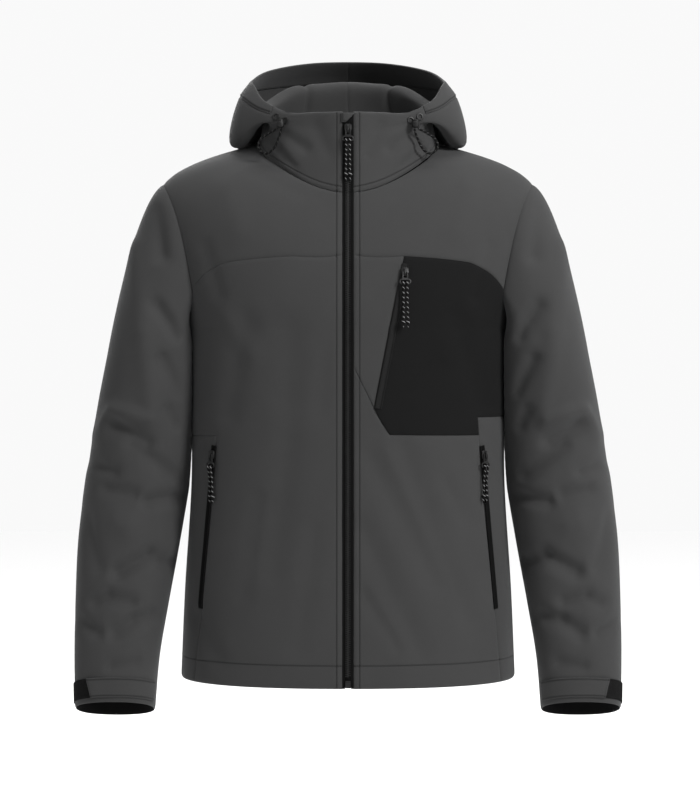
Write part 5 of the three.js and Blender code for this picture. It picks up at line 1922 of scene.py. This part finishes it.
@dataclass
class FrontZip:
    """The front zip: teeth on a core, its box and the guard at its top."""

    line: FrontLine
    dresser: Dresser
    guard_levels: tuple[float, float] = (0.85, 0.985)
    teeth_from: float = 15.0
    teeth_to: float = 690.0

    def build(self) -> None:
        """Makes the chain, softens the box and lays the guard."""
        points, out = self.line.points()
        teeth = Teeth().build("front_zip_teeth", points, out, self.teeth_from, self.teeth_to)
        self.dresser.dress(teeth, "plastic", ["zip_chain"])
        side = np.broadcast_to([1.0, 0, 0], points.shape)
        core = np.array([[-4.6, -1.9], [4.6, -1.9], [4.6, -1.3], [1.2, -0.9], [-1.2, -0.9], [-4.6, -1.3]])
        tape = ribbon("front_zip_core", points[2:-2], out[2:-2], side[2:-2], core)
        self.dresser.dress(tape, "tape")
        self.dresser.soften("zip_box", 0.4, "plastic")
        self.guard()

    def guard(self) -> None:
        """The guard: a small flap over the zip's top, cut slantwise towards the slider."""
        s, t = spaced(17, 1.2, (0.3, 0.7, 1.2)), spaced(16, 1.2, (0.3, 0.7, 1.2))
        level = mixed(*self.guard_levels, t)[:, None]
        right = mixed(-3.0, 8.6, t)[:, None]
        x = mixed(-8.6, right, s[None])
        level = np.broadcast_to(level, x.shape)
        hood = self.line.hood
        depth = -hood.points(np.zeros_like(x), level)[..., 1]
        angle = np.arcsin(x / depth)
        point = hood.points(angle, level)
        normal = normals_of(hood.points, np.zeros_like(x), level)
        arch = 1.0 - (x / 9) ** 4
        outer = point + normal * (1.5 + arch)[..., None]
        edge = np.minimum(arcs(outer, 1), arcs(outer, 0))
        cloth = Cloth(
            "zip_garage",
            outer,
            normal,
            wall=1.4,
            roll=0.4,
            reach=0.8,
            allowance=0.0,
            pucker=0.0,
            lines=(edge - 1.6,),
        )
        self.dresser.lay(cloth, "shell", "chin_guard")


@dataclass
class PocketZips:
    """The slanted chest zip and both hand pocket zips, each a coil zip turned inwards."""

    torso: Torso
    dresser: Dresser

    def strip(
        self,
        name: str,
        node: str,
        ends: Sequence[Sequence[float]],
        wide: float,
        gap: float,
        side: Side,
    ) -> Stitching:
        """Lays one zip on the cloth.

        Args:
            name: the strip's name.
            node: the node that it stands for.
            ends: its foot and its top, in x and z.
            wide: its width.
            gap: how far beside its middle the coil lies.
            side: the side of the body.

        Returns:
            The stitches beside it.
        """
        places = self.torso.straight(*ends, np.linspace(0, 1, 520))
        point, out = self.torso.cloth(side.value * places[:, 0], places[:, 1])
        along = unit(np.gradient(point, axis=0))
        across = unit(np.cross(along, out))
        h = wide / 2
        groove = [(1.4, 1.6), (1.15, 1.1), (0.75, 1.4), (0.3, 1.2), (0, 0.6)]
        profile = np.array(
            [(-h, 0.3), (h, 0.3), (h, 1.2), (h - 0.5, 1.6)]
            + [(gap + x, z) for x, z in groove]
            + [(gap - x, z) for x, z in groove[-2::-1]]
            + [(0.5 - h, 1.6), (-h, 1.2)]
        )
        strip = ribbon(name, point, out, across, profile, 0.12)
        self.dresser.dress(strip, "welt" if gap else "tape", [node])
        stitches = Stitching(thick=0.36)
        for way in (-1, 1):
            stitches.add(point + across * (way * (h - 1.0)), out, 1.62)
        return stitches

    def build(self) -> None:
        """Makes the three zips."""
        pocket = (((183.6, -579), (165.4, -376)), 8.0, 0.0)
        chest = (((36.6, -328.5), (70.6, -152)), 8.6, 2.2)
        rows = [
            ("chest_zip_strip", "chest_zip", *chest, Side.LEFT),
            ("hand_zip_left", "pocket_zip_left", *pocket, Side.LEFT),
            ("hand_zip_right", "pocket_zip_right", *pocket, Side.RIGHT),
        ]
        for row in rows:
            stitches = self.strip(*row)
            self.dresser.dress(stitches.build(f"{row[0]}_stitches"), "dark_thread")


# ---- Sliders, pulls and the draw cord


@dataclass(frozen=True)
class Seat:
    """A place on the cloth with its own axes: across, into the cloth and up along it."""

    origin: Array
    across: Array
    back: Array
    up: Array

    @classmethod
    def on(cls, point: Array, normal: Array, lift: float) -> Seat:
        """A seat a lift above a point of the cloth, its up as near to the vertical as may be."""
        up = unit(np.array([0, 0, 1.0]) - normal * normal[2])
        return cls(point + normal * lift, np.cross(-normal, up), -normal, up)

    def flipped(self) -> Seat:
        """The seat on the other side of the body."""
        flip = np.array([-1, 1, 1])
        return Seat(self.origin * flip, -self.across * flip, self.back * flip, self.up * flip)

    def place(self, local: Array) -> Array:
        """Points given in the seat's own axes."""
        return self.origin + local @ np.stack([self.across, self.back, self.up])


@dataclass
class Pulls:
    """Sliders with their tabs, and the two strands of braid that hang from each."""

    torso: Torso
    hood: HoodForm
    dresser: Dresser
    slider_thick: float = 2.2
    room: float = 2.3
    tab_tall: float = 16.6
    bar: float = 1.2
    strand: float = 2.6
    apart: float = 4.8
    knot: float = 7.5

    def strand_path(self, seat: Seat, length: float, lean: float, way: int) -> Array:
        """Points down one strand, on a centripetal curve: out of the ring, over its rim, down."""
        start = -self.tab_tall + self.bar / 2 - SEAM_GAP
        x = way * self.apart / 2
        local = np.array(
            [
                [x * 0.62, 1.7, start + 3.4],
                [x * 0.85, 0.5, start + 3.6],
                [x, -1.9, start + 1.2],
                [x, -1.4, start - 4],
                [x, lean * 0.2, start - length * 0.35],
                [x + way * 0.1, lean * 0.6, start - length * 0.7],
                [x + way * 0.5, lean, start - length],
            ]
        )
        level = np.linspace(0, 1, 150)
        curve = round_curve(np.broadcast_to(local, (len(level), *local.shape)), level)
        return seat.place(curve)

    def hang(self, name: str, seat: Seat, length: float, lean: float = 0.4) -> None:
        """Finishes one slider and its tab, and hangs its strands."""
        pin = replace(seat, origin=seat.origin - seat.back * (self.slider_thick + self.room / 2))
        body = f"pull_{name}"
        self.dresser.soften(f"slider_{name}", 0.35, "metal")
        self.dresser.soften(f"pull_tab_{name}", 0.3, "metal", body)
        for letter, way in (("a", -1), ("b", 1)):
            path = self.strand_path(pin, length, lean, way)
            node = f"pull_cord_{name}_{letter}"
            cord = Cord(self.strand, pin.back, self.knot)
            self.dresser.string(f"strand_{name}_{letter}", path, cord, "cord", node, body)

    def build(self) -> None:
        """Makes all four."""
        level = np.array([0.76])
        main = self.hood.points(np.zeros(1), level)[0]
        normal = normals_of(self.hood.points, np.zeros(1), level)[0]
        self.hang("main", Seat.on(main, normal, 0.6 + SEAM_GAP), 49, -4)
        top = LIFT + 0.1 + 1.2 + SEAM_GAP
        chest = self.torso.front_place((69, -162))
        point, normal = self.torso.cloth(chest[:1], chest[1:])
        self.hang("chest", Seat.on(point[0], normal[0], top), 53)
        pocket = self.torso.front_place((166.4, -387))
        for side in Side:
            point, normal = self.torso.cloth(side.value * pocket[:1], pocket[1:])
            flip = np.array([side.value, 1, 1])
            seat = Seat.on(point[0] * flip, normal[0] * flip, top)
            self.hang(f"pocket_{side.word}", seat if side is Side.LEFT else seat.flipped(), 44)


@dataclass
class DrawCord:
    """The hood's draw cord: eyelets in the casing, a lock and a loop of braid on each side."""

    hood: HoodForm
    dresser: Dresser
    thick: float = 3.0
    lock_rise: float = 7.6
    route: Array = table(
        [-1.6, 0, -6],
        [0.6, 0.2, -13],
        [3.6, 0.5, -20],
        [7, 0.8, -27],
        [12.4, 1.2, -33.4],
        [19.6, 1.4, -36.4],
        [26.4, 1.3, -33.4],
        [29.6, 0.9, -26],
        [26, 0.6, -18.4],
        [16.4, 0.3, -12],
        [3.4, 0, -6],
    )

    def build(self) -> None:
        """Makes the pieces of both sides."""
        place = place_at(self.hood.points, 81.5, 22.6, (math.radians(55), 0.8))
        point = self.hood.points(place[:1], place[1:])[0]
        normal = normals_of(self.hood.points, place[:1], place[1:])[0]
        left = Seat.on(point, normal, self.lock_rise)
        level = np.linspace(0, 1, 420)
        for side in Side:
            word = side.word
            seat = left if side is Side.LEFT else left.flipped()
            self.dresser.soften(f"cord_lock_{word}", 0.5, "plastic")
            for i in (1, 2):
                self.dresser.soften(f"eyelet_{word}_{i}", 0.2, "metal")
            local = self.route * np.array([side.value, 1, 1])
            curve = round_curve(np.broadcast_to(local, (len(level), *local.shape)), level)
            path = seat.place(curve)
            cord = Cord(self.thick, seat.back)
            self.dresser.string(f"draw_cord_{word}", path, cord, "loop", f"draw_loop_{word}")


# ---- The studio


@dataclass
class Studio:
    """A pale floor, soft lights and the camera that the photograph's framing asks for."""

    target: tuple[float, float, float] = (0.0025, 0, -0.322)
    distance: float = 3.2
    elevation: float = 1.75
    lens: float = 36 * 3200 / (800 * 1.27)
    floor_z: float = -1.15

    def camera(self) -> None:
        """Places the camera straight in front, a little above the middle."""
        data = bpy.data.cameras.new("camera")
        data.sensor_fit, data.sensor_height, data.lens = "VERTICAL", 36, self.lens
        turn = math.radians(self.elevation)
        away = Vector((0, -math.cos(turn), math.sin(turn))) * self.distance
        obj = bpy.data.objects.new("camera", data)
        obj.location = Vector(self.target) + away
        obj.rotation_euler = (-away).to_track_quat("-Z", "Y").to_euler()
        bpy.context.scene.collection.objects.link(obj)
        bpy.context.scene.camera = obj

    def lamp(self, name: str, place: Sequence[float], size: float, watts: float) -> None:
        """A square area light that looks at the jacket."""
        data = bpy.data.lights.new(name, "AREA")
        data.shape, data.size, data.energy = "SQUARE", size, watts
        obj = bpy.data.objects.new(name, data)
        obj.location = place
        way = Vector(self.target) - Vector(place)
        obj.rotation_euler = way.to_track_quat("-Z", "Y").to_euler()
        bpy.context.scene.collection.objects.link(obj)

    def build(self) -> None:
        """Sets up the world, the lamps and the floor."""
        scene = bpy.context.scene
        scene.view_settings.view_transform = "Standard"
        world = bpy.data.worlds.new("studio")
        world.use_nodes = True
        back = world.node_tree.nodes["Background"]
        back.inputs[0].default_value, back.inputs[1].default_value = (1, 1, 1, 1), 0.95
        scene.world = world
        self.lamp("key", (2.4, -2.3, 1.7), 1.0, 325)
        self.lamp("fill", (-2.7, -2.2, 0.5), 1.6, 20)
        self.lamp("top", (0.2, -0.2, 2.4), 1.2, 60)
        self.lamp("behind", (-0.8, 2.6, 0.9), 1.6, 60)
        reach = np.linspace(-8, 8, 9) / MM
        x, y = np.meshgrid(reach, reach)
        points = np.stack([x, y, np.full_like(x, self.floor_z / MM)], -1).reshape(-1, 3)
        index = np.arange(81).reshape(9, 9)
        quads = np.stack([index[:-1, :-1], index[:-1, 1:], index[1:, 1:], index[1:, :-1]], -1)
        floor = new_object("floor", points, [quads.reshape(-1, 4)])
        graph = Graph("pale floor")
        floor.data.materials.append(graph.surface(Base_Color=(0.93, 0.93, 0.93, 1), Roughness=0.9))


def corners(box: Sequence[Sequence[float]]) -> list[list[float]]:
    """A box as plain lists of numbers."""
    return [[float(c) for c in corner] for corner in box]


def main() -> None:
    """Builds the jacket in order."""
    logging.basicConfig(level=logging.INFO, format="%(message)s")
    studio = Studio()
    studio.camera()
    torso = Torso()
    dresser = Dresser(make_finishes())
    sleeve, hood = SleeveForm(torso), HoodForm(torso)
    Pulls(torso, hood, dresser).build()
    DrawCord(hood, dresser).build()
    Body(torso, dresser).build()
    Sleeves(sleeve, dresser).build()
    Hood(hood, dresser).build()
    FrontZip(FrontLine(torso, hood), dresser).build()
    PocketZips(torso, dresser).build()
    for side in Side:
        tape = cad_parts[f"zip_tape_{side.word}"]
        tape.material_slots[0].material = dresser.finishes["tape"]
    studio.build()
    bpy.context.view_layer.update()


if __name__ == "__main__":
    main()
